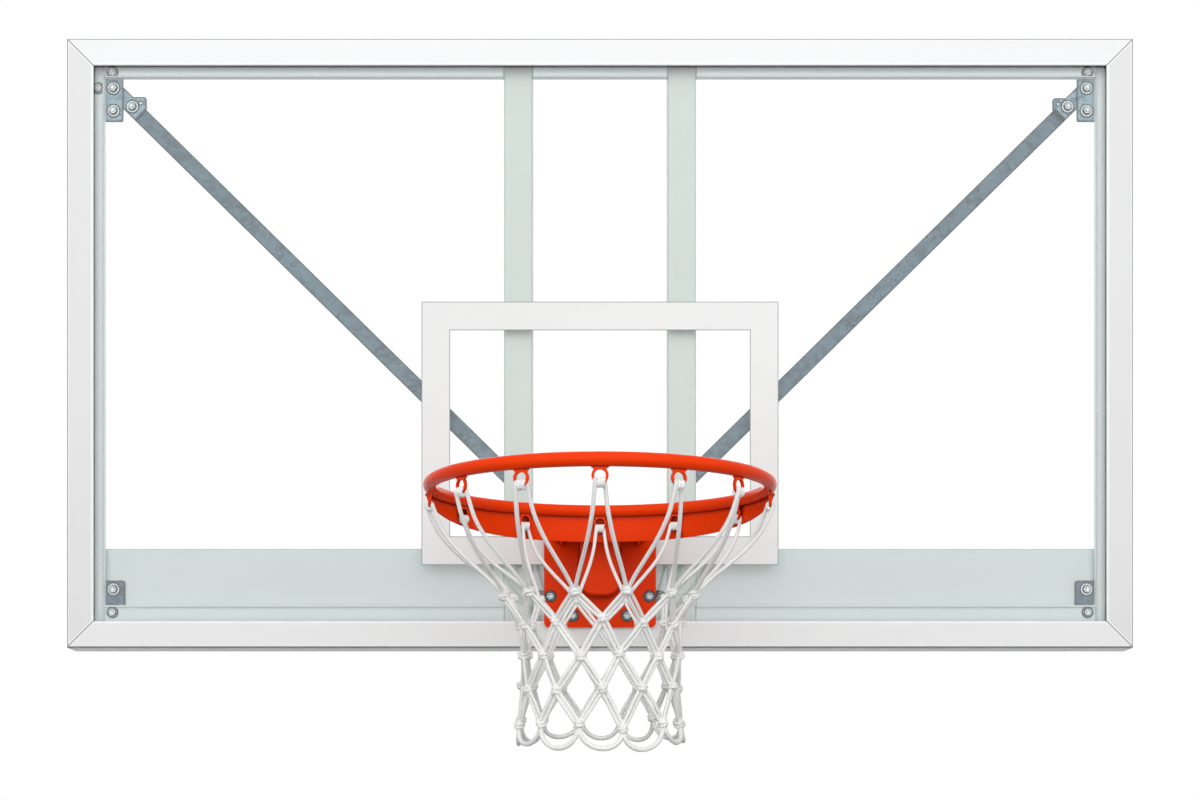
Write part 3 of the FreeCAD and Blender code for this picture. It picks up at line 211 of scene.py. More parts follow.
class GoalSettings(bpy.types.PropertyGroup):
    """Sizes and colours of the ring, its mount and the breakaway parts."""
    plate_edge: length("Rounding of plate edges", 0.0014)
    hook_edge: length("Rounding of the net hooks", 0.0009)
    pin_edge: length("Rounding of pin, clips and plunger", 0.0005)
    skirt_wall: length("Thickness of the band under the ring", 0.003)
    skirt_offset: length("Inner face of the band outside the rod's middle", 0.004)
    skirt_end: length("Height of the band at its two ends", 0.005)
    skirt_bow: length("How far the band's lower edge bows from a straight slope", 0.006)
    hook_bar: length("Lower bar of a net hook below the rod", 0.0191)
    weld_radius: length("Size of the weld bead between rod and band", 0.0026)
    spring_wire: length("Radius of the spring's wire", 0.0024)
    spring_turns: number("Turns of the breakaway spring", 5)
    spring_keep: number("Share of its height that the pressed spring keeps", 0.818)
    orange: colour("Orange powder coat of ring and mount", tone(242, 60, 2))
    crease_reach: length("How far the shade in a crease of the goal reaches", 0.012)
    crease_tone: colour("Shade in the creases of the goal", tone(120, 22, 4))
    steel: colour("Oiled steel of spring, pin and plunger", tone(124, 127, 131))


class NetSettings(bpy.types.PropertyGroup):
    """Sizes and colours of the cord net: each leg is two cords that lie side by side."""
    cord_radius: length("Radius of one cord of a leg", 0.0024)
    hook_cord: length("Radius of the cord that goes over a hook", 0.0028)
    hem_cord: length("Radius of the cord of a hem loop", 0.0034)
    hook_wrap: length("Radius of the turns of cord round a hook's bar", 0.0041)
    hook_wraps: number("Turns of cord round a hook's bar", 2.5)
    slack: length("How far the cord from a hook strays from an even curve", 0.002)
    leg_dip: length("How far a leg bends in at most", 0.001)
    leg_bow: length("How far a leg bends out at most", 0.002)
    knot_radius: length("Radius of the wraps of a knot", 0.0052)
    knot_wraps: number("Turns of cord round a knot", 2.2)
    sway: length("How far knots stray from an even row", 0.0036)
    seed: count("Start of the uneven rows", 11)
    columns: count("Hooks, and knots in a row", 12)
    row_radii: row_lengths("Radius of each row of knots, then of the hem",
                           (0.132, 0.112, 0.109, 0.110, 0.113, 0.115))
    row_depths: row_lengths("Depth of each row below the ring, then of the hem",
                            (0.150, 0.188, 0.231, 0.277, 0.325, 0.352))
    cord_white: colour("White braided cord", tone(250, 250, 248))
    # Shade colour of the braid's crevices, painted shade; also the colour of random wear.
    cord_shade_and_wear: colour("Cord between the braid's strands", tone(226, 225, 222))


class StageSettings(bpy.types.PropertyGroup):
    """Camera, light and floor."""
    camera_gap: length("Distance from the front of the frame to the camera", 2.0)
    camera_height: length("Height of the level camera", -0.55)
    view_reach: length("How far the camera sees", 100)
    lens: number("Focal length in millimetres on a 36 mm sensor", 35.2)
    horizon_row: number("Picture row of the camera's height", 665.7)
    floor_drop: length("Floor below the lowest point of the net", 0.85)
    floor_radius: length("Radius of the floor", 3.2)
    fade_start_share: number("Where the floor starts to fade, in its radius", 0.35)
    fade_stop_share: number("Where the floor is white, in its radius", 0.95)
    fill: number("Strength of the light from all round", 0.45)
    fill_tint: colour("Colour of the light from all round", (0.96, 0.98, 1))
    aim_height: length("Height at which the lamps aim", -0.05)
    key_size: length("Width of the soft lamp above the front", 6.0)
    key_ahead: length("Distance of the soft lamp above, in front of the board", 2.7)
    key_rise: length("Height of the soft lamps above the frame's top", 0.7)
    key_power: power("Power of the soft lamp above the front", 53)
    front_size: length("Width of the soft lamp level with the board", 6.0)
    front_height: length("Height of the level lamp", 0.1)
    front_ahead: length("Distance of the level lamp in front of the board", 3.2)
    front_power: power("Power of the soft lamp level with the board", 63)
    side_size: length("Width of each side lamp", 1.6)
    side_height: length("Height of the side lamps", 0.3)
    side_out_share: number("Side lamps from the middle, in half widths of the board", 2.8)
    side_ahead_share: number("Side lamps in front, in the key lamp's distance", 0.6)
    side_power: power("Power of each side lamp", 5)
    back_size: length("Width of the soft lamp behind the board", 3.0)
    back_behind: length("Distance of the soft lamp behind the board", 3.0)
    back_power: power("Power of the soft lamp behind the board", 30)
    floor_grey: colour("Tone of the light that the floor throws back", tone(120, 120, 120))
    floor_white: colour("Pale floor", tone(246, 246, 246))


def settings(group):
    return getattr(bpy.context.scene, "backboard_" + group)


# Pieces

WELD_DISTANCE = 1e-6
FLAT_TURN = math.radians(0.5)


def add_piece(name, shape, materials, body, stands_for, smooth=35):
    """A shape as a piece of the object: shaded, painted, riding on its body in the place of its nodes."""
    mesh = as_mesh(name, shape)
    custom = mesh.attributes.get("custom_normal")
    if custom:
        mesh.attributes.remove(custom)
    for material in materials:
        mesh.materials.append(material)
    mesh.polygons.foreach_set("use_smooth", [True] * len(mesh.polygons))
    mesh.set_sharp_from_angle(angle=math.radians(smooth))
    thing = bpy.data.objects.new(name, mesh)
    bpy.context.scene.collection.objects.link(thing)
    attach(thing, body)
    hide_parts(*stands_for)
    return thing


def as_mesh(name, shape):
    mesh = bpy.data.meshes.new(name)
    shape.to_mesh(mesh)
    shape.free()
    return mesh


def cad_copy(node):
    """A node's mesh, welded, with its flat faces whole again."""
    shape = bmesh.new()
    shape.from_mesh(NODES[node].data)
    bmesh.ops.remove_doubles(shape, verts=shape.verts, dist=WELD_DISTANCE)
    bmesh.ops.dissolve_limit(shape, angle_limit=FLAT_TURN, verts=shape.verts, edges=shape.edges)
    return shape


def round_edges(shape, width, least_turn=32, segments=2):
    """Round every edge where two faces meet at more than the least turn."""
    sharp = [edge for edge in shape.edges
             if edge.is_manifold and edge.calc_face_angle() > math.radians(least_turn)]
    if sharp:
        bmesh.ops.bevel(shape, geom=sharp, offset=width, offset_type="OFFSET", segments=segments,
                        profile=0.5, affect="EDGES", clamp_overlap=True)


def dress(node, material, edge, segments=2):
    """A finished copy of a node with rounded edges, in the node's place; its flat faces are shaded flat."""
    shape = cad_copy(node)
    round_edges(shape, edge, segments=segments)
    thing = add_piece(node + "_finish", shape, [material], NODES[node]["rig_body"], [node])
    flat = thing.modifiers.new("flat_faces", "WEIGHTED_NORMAL")
    flat.weight = 100
    flat.keep_sharp = True


def nodes_of(slot):
    return [node for node in NODES if SLOT_OF[node] == slot]


def keep(node, material):
    """A node that stays as it is, with a finish of its own."""
    NODES[node].data.materials.clear()
    NODES[node].data.materials.append(material)


def islands(node):
    """Lowest and highest corner of each separate solid in a node."""
    shape = cad_copy(node)
    left = set(shape.verts)
    boxes = []
    while left:
        front = [left.pop()]
        group = list(front)
        while front:
            for edge in front.pop().link_edges:
                for vert in edge.verts:
                    if vert in left:
                        left.remove(vert)
                        front.append(vert)
                        group.append(vert)
        low = Vector([min(vert.co[axis] for vert in group) for axis in range(3)])
        high = Vector([max(vert.co[axis] for vert in group) for axis in range(3)])
        boxes.append((low, high))
    shape.free()
    return sorted(boxes, key=lambda box: (round(box[0].x, 4), round(box[0].z, 4)))


def turns(steps):
    """Angles of a whole turn in even steps."""
    return [2 * math.pi * step / steps for step in range(steps)]


def shares(steps):
    """Nought to one in even steps, both ends counted."""
    return [step / steps for step in range(steps + 1)]


def skin_rings(shape, rings, closed=False):
    """Faces between rings of points; the surface closes on itself or gets end caps."""
    loops = [[shape.verts.new(spot) for spot in ring] for ring in rings]
    pairs = list(zip(loops, loops[1:]))
    if closed:
        pairs.append((loops[-1], loops[0]))
    size = len(loops[0])
    for one, two in pairs:
        for index in range(size):
            after = (index + 1) % size
            shape.faces.new((one[index], one[after], two[after], two[index]))
    if not closed:
        shape.faces.new(list(reversed(loops[0])))
        shape.faces.new(loops[-1])


def smooth_path(spots, steps):
    """Points along a smooth curve through every spot."""
    ends = [spots[0] * 2 - spots[1]] + list(spots) + [spots[-1] * 2 - spots[-2]]
    path = []
    for index in range(1, len(ends) - 2):
        before, here, after, beyond = ends[index - 1:index + 3]
        for step in range(steps):
            t = step / steps
            path.append(0.5 * (2 * here + (after - before) * t
                               + (2 * before - 5 * here + 4 * after - beyond) * t * t
                               + (3 * here - before - 3 * after + beyond) * t * t * t))
    path.append(ends[-2].copy())
    return path


def tube(shape, path, radius, sides=8, uv=None, closed=False):
    """A round tube along a path, without twist; uv runs round it and along it in metres."""
    total = len(path)
    way = (path[1] - path[0]).normalized()
    side = way.orthogonal().normalized()
    rings = []
    for index, spot in enumerate(path):
        ahead = path[(index + 1) % total] if closed or index + 1 < total else spot
        behind = path[index - 1] if closed or index else spot
        new_way = (ahead - behind).normalized()
        side = way.rotation_difference(new_way) @ side
        side = (side - new_way * side.dot(new_way)).normalized()
        way = new_way
        up = way.cross(side)
        wide = radius(index / (total - 1)) if callable(radius) else radius
        rings.append([spot + (side * math.cos(turn) + up * math.sin(turn)) * wide for turn in turns(sides)])
    first_face = len(shape.faces)
    skin_rings(shape, rings, closed=closed)
    if uv:
        shape.faces.ensure_lookup_table()
        run = 0.0
        for index in range(total - 1):
            step = (path[index + 1] - path[index]).length
            for corner in range(sides):
                face = shape.faces[first_face + index * sides + corner]
                marks = ((corner, run), (corner + 1, run), (corner + 1, run + step), (corner, run + step))
                for loop, (around, along) in zip(face.loops, marks):
                    loop[uv].uv = (around / sides, along)
            run += step


# Finishes

NOISE_RANGE = (0.3, 0.7)
EDGE_TURNS = (0.995, 0.94)
CREASE_SHARES = (0.85, 0.35)
RAY_SAMPLES = 8


def dimmed(base, share):
    return tuple(channel * share for channel in base)


class Graph:
    """A node tree: add() makes a node, sets or links its inputs and gives one of its outputs."""

    def __init__(self, tree):
        self.tree = tree

    def feed(self, socket, value):
        """Link a socket to another node's output, or set it to a value."""
        if isinstance(value, bpy.types.NodeSocket):
            self.tree.links.new(value, socket)
        else:
            socket.default_value = value

    def add(self, kind, inputs=None, output=0, **values):
        node = self.tree.nodes.new(kind)
        for name, value in values.items():
            setattr(node, name, value)
        for name, value in (inputs or {}).items():
            self.feed(node.inputs[name], value)
        return node.outputs[output]

    def math(self, operation, one, two=0.0):
        return self.add("ShaderNodeMath", {0: one, 1: two}, operation=operation)

    def ramp(self, value, start, stop, low=0.0, high=1.0, bend="LINEAR"):
        """A number that goes from low to high as a value goes from start to stop."""
        return self.add("ShaderNodeMapRange", {"Value": value, "From Min": start, "From Max": stop,
                                               "To Min": low, "To Max": high}, interpolation_type=bend)

    def seen(self):
        """One where the camera looks, also by way of gloss or glass, and nought for all other light."""
        seen = self.add("ShaderNodeLightPath", output="Is Camera Ray")
        rays = seen.node.outputs
        for kind in ("Is Glossy Ray", "Is Transmission Ray"):
            seen = self.math("MAXIMUM", seen, rays[kind])
        return seen


class Finish(Graph):
    """A node material, whose set() feeds its main shader."""

    def __init__(self, name):
        self.material = bpy.data.materials.new(name)
        self.material.use_nodes = True
        super().__init__(self.material.node_tree)
        self.shader = self.tree.nodes["Principled BSDF"]
        self.place = self.add("ShaderNodeTexCoord").node.outputs["Object"]

    def set(self, **values):
        for name, value in values.items():
            self.feed(self.shader.inputs[name.replace("_", " ")], value)

    def show(self, surface):
        """Link another shader to the material's surface."""
        self.feed(self.tree.nodes["Material Output"].inputs["Surface"], surface)

    def noise(self, scale, detail=4.0, place=None, roughness=0.55):
        return self.add("ShaderNodeTexNoise", {"Vector": place or self.place, "Scale": scale,
                                               "Detail": detail, "Roughness": roughness})

    def stretched(self, turn, scale):
        """Coordinates turned by angles and scaled, for grain that runs one way."""
        return self.add("ShaderNodeMapping", {"Vector": self.place, "Rotation": turn, "Scale": scale})

    def between(self, noise, low, high):
        """A number that goes from low to high as a noise goes over its middle range."""
        return self.ramp(noise, *NOISE_RANGE, low, high)

    def drift(self, noise, base, down, up):
        """A colour that drifts with a noise between a darker and a lighter shade of itself."""
        lighter = tuple(min(1.0, channel * up) for channel in base)
        return self.mix(self.between(noise, low=0, high=1), dimmed(base, down), lighter)

    def mix(self, factor, one, two):
        def wide(value):
            return value if isinstance(value, bpy.types.NodeSocket) else (*value, 1.0)
        return self.add("ShaderNodeMix", {0: factor, 6: wide(one), 7: wide(two)}, output=2, data_type="RGBA")

    def bump(self, height, strength, distance, normal=None):
        inputs = {"Height": height, "Strength": strength, "Distance": distance}
        if normal:
            inputs["Normal"] = normal
        return self.add("ShaderNodeBump", inputs)

    def near_edge(self, width):
        """One at an edge of the piece, nought at a width from it, by the turn of a rounded edge."""
        rounded = self.add("ShaderNodeBevel", {"Radius": width}, samples=RAY_SAMPLES)
        plain = self.add("ShaderNodeNewGeometry", output="Normal")
        turn = self.add("ShaderNodeVectorMath", {0: rounded, 1: plain}, output="Value",
                        operation="DOT_PRODUCT")
        return self.ramp(turn, *EDGE_TURNS)

    def crease(self, reach):
        """One in a deep crease, nought in the open."""
        open_share = self.add("ShaderNodeAmbientOcclusion", {"Distance": reach}, output="AO",
                              samples=RAY_SAMPLES)
        return self.ramp(open_share, *CREASE_SHARES)


def paint(name, base, roughness, peel=520, drift=0.05, gloss=0.4, edge=None, crease=None, lines=None):
    """Powder coat: slow drift of tone and orange-peel surface; edge and crease are a reach and a colour of
    painted shade.
    """
    finish = Finish(name)
    body = finish.drift(finish.noise(scale=2.3, detail=3), base, down=1 - drift, up=1 + drift * 0.6)
    fine = finish.noise(scale=peel * 1.7, detail=2)
    coat = finish.mix(finish.between(fine, low=0, high=0.05), body, dimmed(base, share=0.8))
    if edge:
        reach, shade = edge
        coat = finish.mix(finish.near_edge(reach), coat, shade)
    if crease:
        reach, shade = crease
        coat = finish.mix(finish.crease(reach), coat, shade)
    if lines:
        coat = lines(finish, coat)
    sheen = finish.between(finish.noise(scale=38), low=roughness - 0.05, high=roughness + 0.06)
    peel_height = finish.noise(scale=peel, detail=1.5)
    finish.set(Base_Color=coat, Roughness=sheen, Specular_IOR_Level=gloss,
               Normal=finish.bump(peel_height, strength=0.02, distance=0.0002))
    return finish.material


LINE_SOFT_SHARE = 0.3
LINE_CORE_SHARE = 0.6
LINE_COVER_SHARE = 0.8
ARRIS_SHARE = 1.6
MITRE_HIGHLIGHT_SHARES = (3, 2)


def frame_lines(finish, body):
    """Fine lines of a mitred extrusion: grey outer arris, partly painted shade; pale bands of painted
    highlight along both edges and beside the mitres; dark mitre joints.
    """
    board = settings("board")
    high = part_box("frame_top")[1]
    wide, tall = high.x - board.frame_lip, high.z - board.frame_lip
    spot = finish.add("ShaderNodeSeparateXYZ", {"Vector": finish.place}).node.outputs
    across = finish.math("SUBTRACT", finish.math("ABSOLUTE", spot["X"]), wide)
    along = finish.math("SUBTRACT", finish.math("ABSOLUTE", spot["Z"]), tall)
    inside = finish.math("MAXIMUM", across, along)
    mitre = finish.math("ABSOLUTE", finish.math("SUBTRACT", across, along))

    def within(value, start, stop):
        return finish.ramp(value, start, stop, bend="SMOOTHSTEP")

    line, face = board.frame_line, board.frame_face
    start, stop = (board.frame_band * (1 + soft) for soft in (LINE_SOFT_SHARE, -LINE_SOFT_SHARE))
    core = line * LINE_CORE_SHARE
    # Pale bands along both edges of the face and beside the mitres: painted highlight where a rounded edge
    # catches the light.
    pale = finish.math("MAXIMUM", within(inside, -start, -stop), within(inside, start - face, stop - face))
    pale = finish.math("MAXIMUM", pale, within(mitre, *(line * share for share in MITRE_HIGHLIGHT_SHARES)))
    body = finish.mix(finish.math("MULTIPLY", pale, LINE_COVER_SHARE), body, board.frame_pale)
    # Grey line at the outer arris: painted shade of the rounded side; the same grey marks the mitre joints,
    # which are real.
    arris = finish.math("MULTIPLY", within(inside, -line * ARRIS_SHARE, -line), within(inside, line, core))
    dark = finish.math("MAXIMUM", arris, within(mitre, line, core))
    return finish.mix(finish.math("MULTIPLY", dark, LINE_COVER_SHARE), body, board.frame_arris)


def rubber(name, base):
    """Dull black with a fine grain."""
    finish = Finish(name)
    grain = finish.noise(scale=900, detail=3)
    finish.set(Base_Color=finish.drift(finish.noise(scale=30), base, down=0.75, up=1.5),
               Roughness=finish.between(grain, low=0.6, high=0.78),
               Normal=finish.bump(grain, strength=0.2, distance=0.0003))
    return finish.material


def glass(name, tint, index, faces):
    """Clear plate: light passes straight on with a faint tint; the near face mirrors for both faces."""
    finish = Finish(name)
    smear = finish.noise(scale=7, detail=5)
    clear = finish.add("ShaderNodeBsdfTransparent", {"Color": (*tint, 1.0)})
    gloss = finish.between(smear, low=0.01, high=0.05)
    mirror = finish.add("ShaderNodeBsdfGlossy", {"Color": WHITE, "Roughness": gloss})
    both_faces = finish.math("MULTIPLY", finish.add("ShaderNodeFresnel", {"IOR": index}), faces)
    near_face = finish.math("SUBTRACT", 1.0, finish.add("ShaderNodeNewGeometry", output="Backfacing"))
    looked_at = finish.math("MULTIPLY", near_face, finish.add("ShaderNodeLightPath", output="Is Camera Ray"))
    share = finish.math("MULTIPLY", finish.math("MINIMUM", both_faces, 1.0), looked_at)
    finish.show(finish.add("ShaderNodeMixShader", {0: share, 1: clear, 2: mirror}))
    finish.tree.nodes.remove(finish.shader)
    return finish.material


def galvanised(name, dark, light, turn, edge):
    """Zinc grains of a few millimetres, with fine drawn streaks along the piece and painted shade along its
    edges.
    """
    finish = Finish(name)
    grains = finish.add("ShaderNodeTexVoronoi", {"Vector": finish.place, "Scale": 150.0, "Randomness": 1.0},
                        output="Color")
    grain = finish.add("ShaderNodeSeparateColor", {"Color": grains})
    drawn = finish.stretched(turn=(0, turn, 0), scale=(18, 300, 620))
    streak = finish.noise(scale=1.0, detail=5, place=drawn)
    cloud = finish.noise(scale=22, detail=4)
    level = finish.math("ADD", finish.math("MULTIPLY", grain, 0.45), 0.05)
    level = finish.math("ADD", level, finish.math("MULTIPLY", streak, 0.6))
    level = finish.math("ADD", level, finish.between(cloud, low=-0.15, high=0.15))
    body = finish.mix(finish.between(level, low=0, high=1), dark, light)
    # Painted shade along the edges of brackets and braces.
    edged = finish.mix(finish.near_edge(edge), body, dimmed(dark, share=0.3))
    clouded = finish.bump(cloud, strength=0.1, distance=0.0006)
    finish.set(Base_Color=edged, Metallic=0.15, Specular_IOR_Level=0.3,
               Roughness=finish.between(streak, low=0.36, high=0.56),
               Normal=finish.bump(streak, strength=0.18, distance=0.0003, normal=clouded))
    return finish.material


def bright_metal(name, base, roughness, metallic=0.9):
    """Plated or turned metal with fine scratches and a slightly cloudy gloss."""
    finish = Finish(name)
    scratches = finish.noise(scale=260, detail=6, roughness=0.7)
    cloud = finish.noise(scale=90, detail=3)
    finish.set(Base_Color=finish.drift(cloud, base, down=0.82, up=1.08), Metallic=metallic,
               Roughness=finish.between(scratches, low=roughness - 0.08, high=roughness + 0.1),
               Normal=finish.bump(scratches, strength=0.06, distance=0.0002))
    return finish.material


def print_white(name, base):
    """Fired print on glass: even, with faint screen grain."""
    finish = Finish(name)
    screen = finish.noise(scale=1400, detail=1)
    cloud = finish.noise(scale=5, detail=4)
    finish.set(Base_Color=finish.drift(cloud, base, down=0.965, up=1.01),
               Roughness=finish.between(screen, low=0.42, high=0.55),
               Normal=finish.bump(screen, strength=0.1, distance=0.0001))
    return finish.material


BRAID_TURNS = 2
BRAIDS_PER_METRE = 290


def braided(name, light, shade):
    """White cord: two sets of strands that cross, from the tube's own uv."""
    finish = Finish(name)
    mark = finish.add("ShaderNodeUVMap", uv_map="cord")
    split = finish.add("ShaderNodeSeparateXYZ", {"Vector": mark})
    along = split.node.outputs["Y"]
    around = finish.math("MULTIPLY", split, 2 * math.pi * BRAID_TURNS)
    run = finish.math("MULTIPLY", along, 2 * math.pi * BRAIDS_PER_METRE)
    one = finish.math("SINE", finish.math("ADD", run, around))
    two = finish.math("SINE", finish.math("SUBTRACT", run, around))
    braid = finish.math("MAXIMUM", one, two)
    fuzz = finish.noise(scale=1800, detail=3)
    height = finish.math("ADD", braid, finish.math("MULTIPLY", fuzz, 0.5))
    # Between the braid's strands the cord takes the shade colour: painted shade in the crevices; a slow
    # noise mixes in the same colour as random wear.
    level = finish.ramp(height, start=-0.4, stop=1.0)
    worn = finish.mix(finish.between(finish.noise(scale=26), low=0, high=0.4), light, shade)
    finish.set(Base_Color=finish.mix(level, shade, worn), Roughness=0.8, Sheen_Weight=0.25,
               Sheen_Roughness=0.5, Normal=finish.bump(height, strength=0.25, distance=0.0005))
    return finish.material


# Fasteners

# Material index of the bolt bands painted as shade: dish wall, groove and the dark ring round the flange.
PAINTED_SHADE = 1
DISH_SHARES = (0.05, 0.3, 0.38)
THREAD_ROOT_SHARE = 0.86
BOLT_TIP_SHARE = 0.8
NUT_HOLE_SHARE = 1.03
NUT_MOUTH_SHARE = 1.12
SOCKET_WIDTH_SHARE = 0.62
SOCKET_DEPTH_SHARE = 0.7
CROWN_SHARE = 0.45
SCREW_SHANK_SHARE = 0.55
SCREW_TIP_SHARE = 0.4


def hexagon(flats):
    """Radius of a hexagon by angle, from its width across flats."""
    def radius(turn):
        return flats / 2 / math.cos((turn % (math.pi / 3)) - math.pi / 6)
    return radius


def turned(shape, low, high, rings, spin, sides=36, closed=False):
    """A form along Y in a box, from rings of depth and radius; the band after a marked ring takes the second
    material, painted shade.
    """
    x, z = (low.x + high.x) / 2, (low.z + high.z) / 2
    spots = []
    for depth, radius, *mark in rings:
        ring = []
        for turn in turns(sides):
            wide = radius(turn) if callable(radius) else radius
            y = depth(turn) if callable(depth) else depth
            ring.append(Vector((x + wide * math.cos(turn + spin), y, z + wide * math.sin(turn + spin))))
        spots.append(ring)
    first_face = len(shape.faces)
    skin_rings(shape, spots, closed=closed)
    shape.faces.ensure_lookup_table()
    for band, (depth, radius, *mark) in enumerate(rings):
        if mark:
            for face in shape.faces[first_face + band * sides:first_face + (band + 1) * sides]:
                face.material_index = PAINTED_SHADE


def chamfered(face_y, flats, inward):
    """Depth of a hexagon's end where a 30 degree chamfer takes its corners off."""
    hexed = hexagon(flats)
    return lambda turn: face_y + inward * (hexed(turn) - flats / 2) * math.tan(math.radians(30))


def flange_bolt(shape, low, high, spin, sizes):
    """Hexagon head, dished on top, in the groove of a flange on a thin dark ring; its shank has a thread.
    The dish wall, the groove and the dark ring are painted shade.
    """
    flats, flange, shank, dish = sizes.bolt_flats, (high.x - low.x) / 2, sizes.bolt_shank, sizes.bolt_dish
    top = low.y
    seat = top + sizes.bolt_head
    brim = seat - sizes.bolt_flange
    groove = flats / math.sqrt(3) + sizes.bolt_groove
    shade_ring, shade_ring_top = flange + sizes.shade_ring_rim, seat - sizes.shade_ring_height
    hexed = hexagon(flats)
    centre, pit, lip = (flats * share for share in DISH_SHARES)
    rings = [(top + dish, centre), (top + dish, pit, PAINTED_SHADE), (top, lip), (top, flats / 2),
             (chamfered(top, flats, 1), hexed), (brim + dish, hexed, PAINTED_SHADE), (brim + dish, groove, PAINTED_SHADE),
             (brim, groove + dish), (brim, flange - dish), (brim + dish, flange),
             (shade_ring_top, flange, PAINTED_SHADE), (shade_ring_top, shade_ring, PAINTED_SHADE), (seat, shade_ring), (seat, shank)]
    pitch = sizes.thread_pitch
    start = high.y - sizes.thread_run
    rings.append((start, shank))
    for thread in range(int(sizes.thread_run / pitch)):
        rings.append((start + (thread + 0.5) * pitch, shank * THREAD_ROOT_SHARE))
        rings.append((start + (thread + 1) * pitch, shank))
    rings.append((high.y, shank * BOLT_TIP_SHARE))
    turned(shape, low, high, rings, spin)


def hex_nut(shape, low, high, spin, sizes):
    """A hexagon nut with both ends chamfered and a bevel round its hole."""
    flats, hole, bevel = sizes.nut_flats, sizes.bolt_shank * NUT_HOLE_SHARE, sizes.nut_bevel
    mouth = hole * NUT_MOUTH_SHARE
    hexed = hexagon(flats)
    rings = [(low.y + bevel, hole), (low.y, mouth), (low.y, flats / 2), (chamfered(low.y, flats, 1), hexed),
             (chamfered(high.y, flats, -1), hexed), (high.y, flats / 2), (high.y, mouth),
             (high.y - bevel, hole)]
    turned(shape, low, high, rings, spin, closed=True)


def button_screw(shape, low, high, spin, sizes, steps=5):
    """A domed screw head with a hexagon socket, seen from behind, and its shank."""
    head, rise = (high.x - low.x) / 2, sizes.screw_head
    socket, shank = hexagon(head * SOCKET_WIDTH_SHARE), head * SCREW_SHANK_SHARE
    seat, pit = high.y - rise, high.y - rise * SOCKET_DEPTH_SHARE
    rings = [(pit, sizes.screw_centre), (pit, socket), (high.y, socket)]
    for step in range(1, steps + 1):
        turn = step / steps * math.pi / 2
        crown = CROWN_SHARE + (1 - CROWN_SHARE) * math.sin(turn)
        rings.append((seat + rise * math.cos(turn), head * crown))
    rings += [(seat, shank), (low.y + sizes.screw_point, shank), (low.y, head * SCREW_TIP_SHARE)]
    turned(shape, low, high, rings[::-1], spin, sides=24)


def fastener_group(node, maker, materials, dice):
    """All fasteners of a node, each turned by chance."""
    shape = bmesh.new()
    for low, high in islands(node):
        maker(shape, low, high, dice.uniform(0, math.pi / 3), settings("board"))
    bmesh.ops.recalc_face_normals(shape, faces=shape.faces)
    add_piece(node + "_finish", shape, materials, NODES[node]["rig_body"], [node])


# Ring, skirt and spring

BENDS_IN_WALL = 3
BEND_SHARE = 0.3
BEAD_STEPS = 420
BEAD_START, BEAD_SWEEP = 0.505 * math.pi, 0.99 * math.pi
BEAD_RIPPLE_SHARE = 0.1
BEAD_RIPPLE_TURN = 1700


def ring_spot(angle, radius, rise):
    """A point round the ring: angle from the front, rise above the middle of the rod."""
    return RING_CENTRE + Vector((radius * math.sin(angle), -radius * math.cos(angle), rise))


def ring_rod(shape, around=192, sides=28):
    """The round rod of the ring."""
    path = [ring_spot(turn, RING_RADIUS, 0) for turn in turns(around)]
    tube(shape, path, ROD_RADIUS, sides=sides, closed=True)


def skirt_band(shape, sizes, steps=140):
    """The band under the rear half of the ring; from the side its lower edge is one long arc."""
    inner = RING_RADIUS + sizes.skirt_offset
    outer = inner + sizes.skirt_wall
    top = -math.sqrt(ROD_RADIUS ** 2 - sizes.skirt_offset ** 2)
    full = RING_CENTRE.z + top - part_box("ring_skirt")[0].z
    rise = full - sizes.skirt_end
    chord = math.hypot(outer, rise)
    radius = chord ** 2 / (8 * sizes.skirt_bow) + sizes.skirt_bow / 2
    reach = radius - sizes.skirt_bow
    middle_y = outer / 2 + reach * rise / chord
    middle_z = top - full + rise / 2 + reach * outer / chord
    bend = sizes.skirt_wall / BENDS_IN_WALL
    near = bend * BEND_SHARE
    rings = []
    for share in shares(steps):
        turn = math.pi * (share - 0.5)
        foot = middle_z - math.sqrt(radius ** 2 - (outer * math.cos(turn) - middle_y) ** 2)
        section = [(inner, top), (inner, foot + bend), (inner + near, foot + near), (inner + bend, foot),
                   (outer - bend, foot), (outer - near, foot + near), (outer, foot + bend), (outer, top)]
        rings.append([ring_spot(math.pi + turn, wide, level) for wide, level in section])
    skin_rings(shape, rings)

    def ripple(share):
        return sizes.weld_radius * (1 + BEAD_RIPPLE_SHARE * math.sin(share * BEAD_RIPPLE_TURN))

    bead = [ring_spot(BEAD_START + BEAD_SWEEP * share, outer, top) for share in shares(BEAD_STEPS)]
    tube(shape, bead, ripple)


def coil(shape, low, high, wire, wraps, per_turn=28, sides=12):
    """A spring that fills a box, coiled about its upright axis."""
    middle = (low + high) / 2
    radius = (high.x - low.x) / 2 - wire
    rise = high.z - low.z - 2 * wire
    path = []
    for share in shares(int(wraps * per_turn)):
        turn = 2 * math.pi * wraps * share
        path.append(Vector((middle.x + radius * math.cos(turn), middle.y + radius * math.sin(turn),
                            low.z + wire + rise * share)))
    tube(shape, path, wire, sides=sides)


# Net

LEG_TURNS = (0.5, 0.9)
LEG_SPREAD = 1.3
KNOT_TILT = 0.35
KNOT_LEAN = 0.9
KNOT_PITCH_SHARE = 1.85
KNOT_TUCK_SHARE = 0.55
KNOT_TUCK_START = 0.8
KNOT_WAVE_SHARE = 0.06
KNOT_WAVES = 3
KNOT_CROSS_SHARE = 1.1
FIRST_KNOT_SWELL = 1.15
WRAP_PITCH_SHARE = 2.1
HANG_STEPS = 5
HANG_ACROSS_SHARE = 0.14
HANG_DOWN_SHARE = 0.26
HANG_END_SHARE = 0.3
HEM_POWER = 0.85


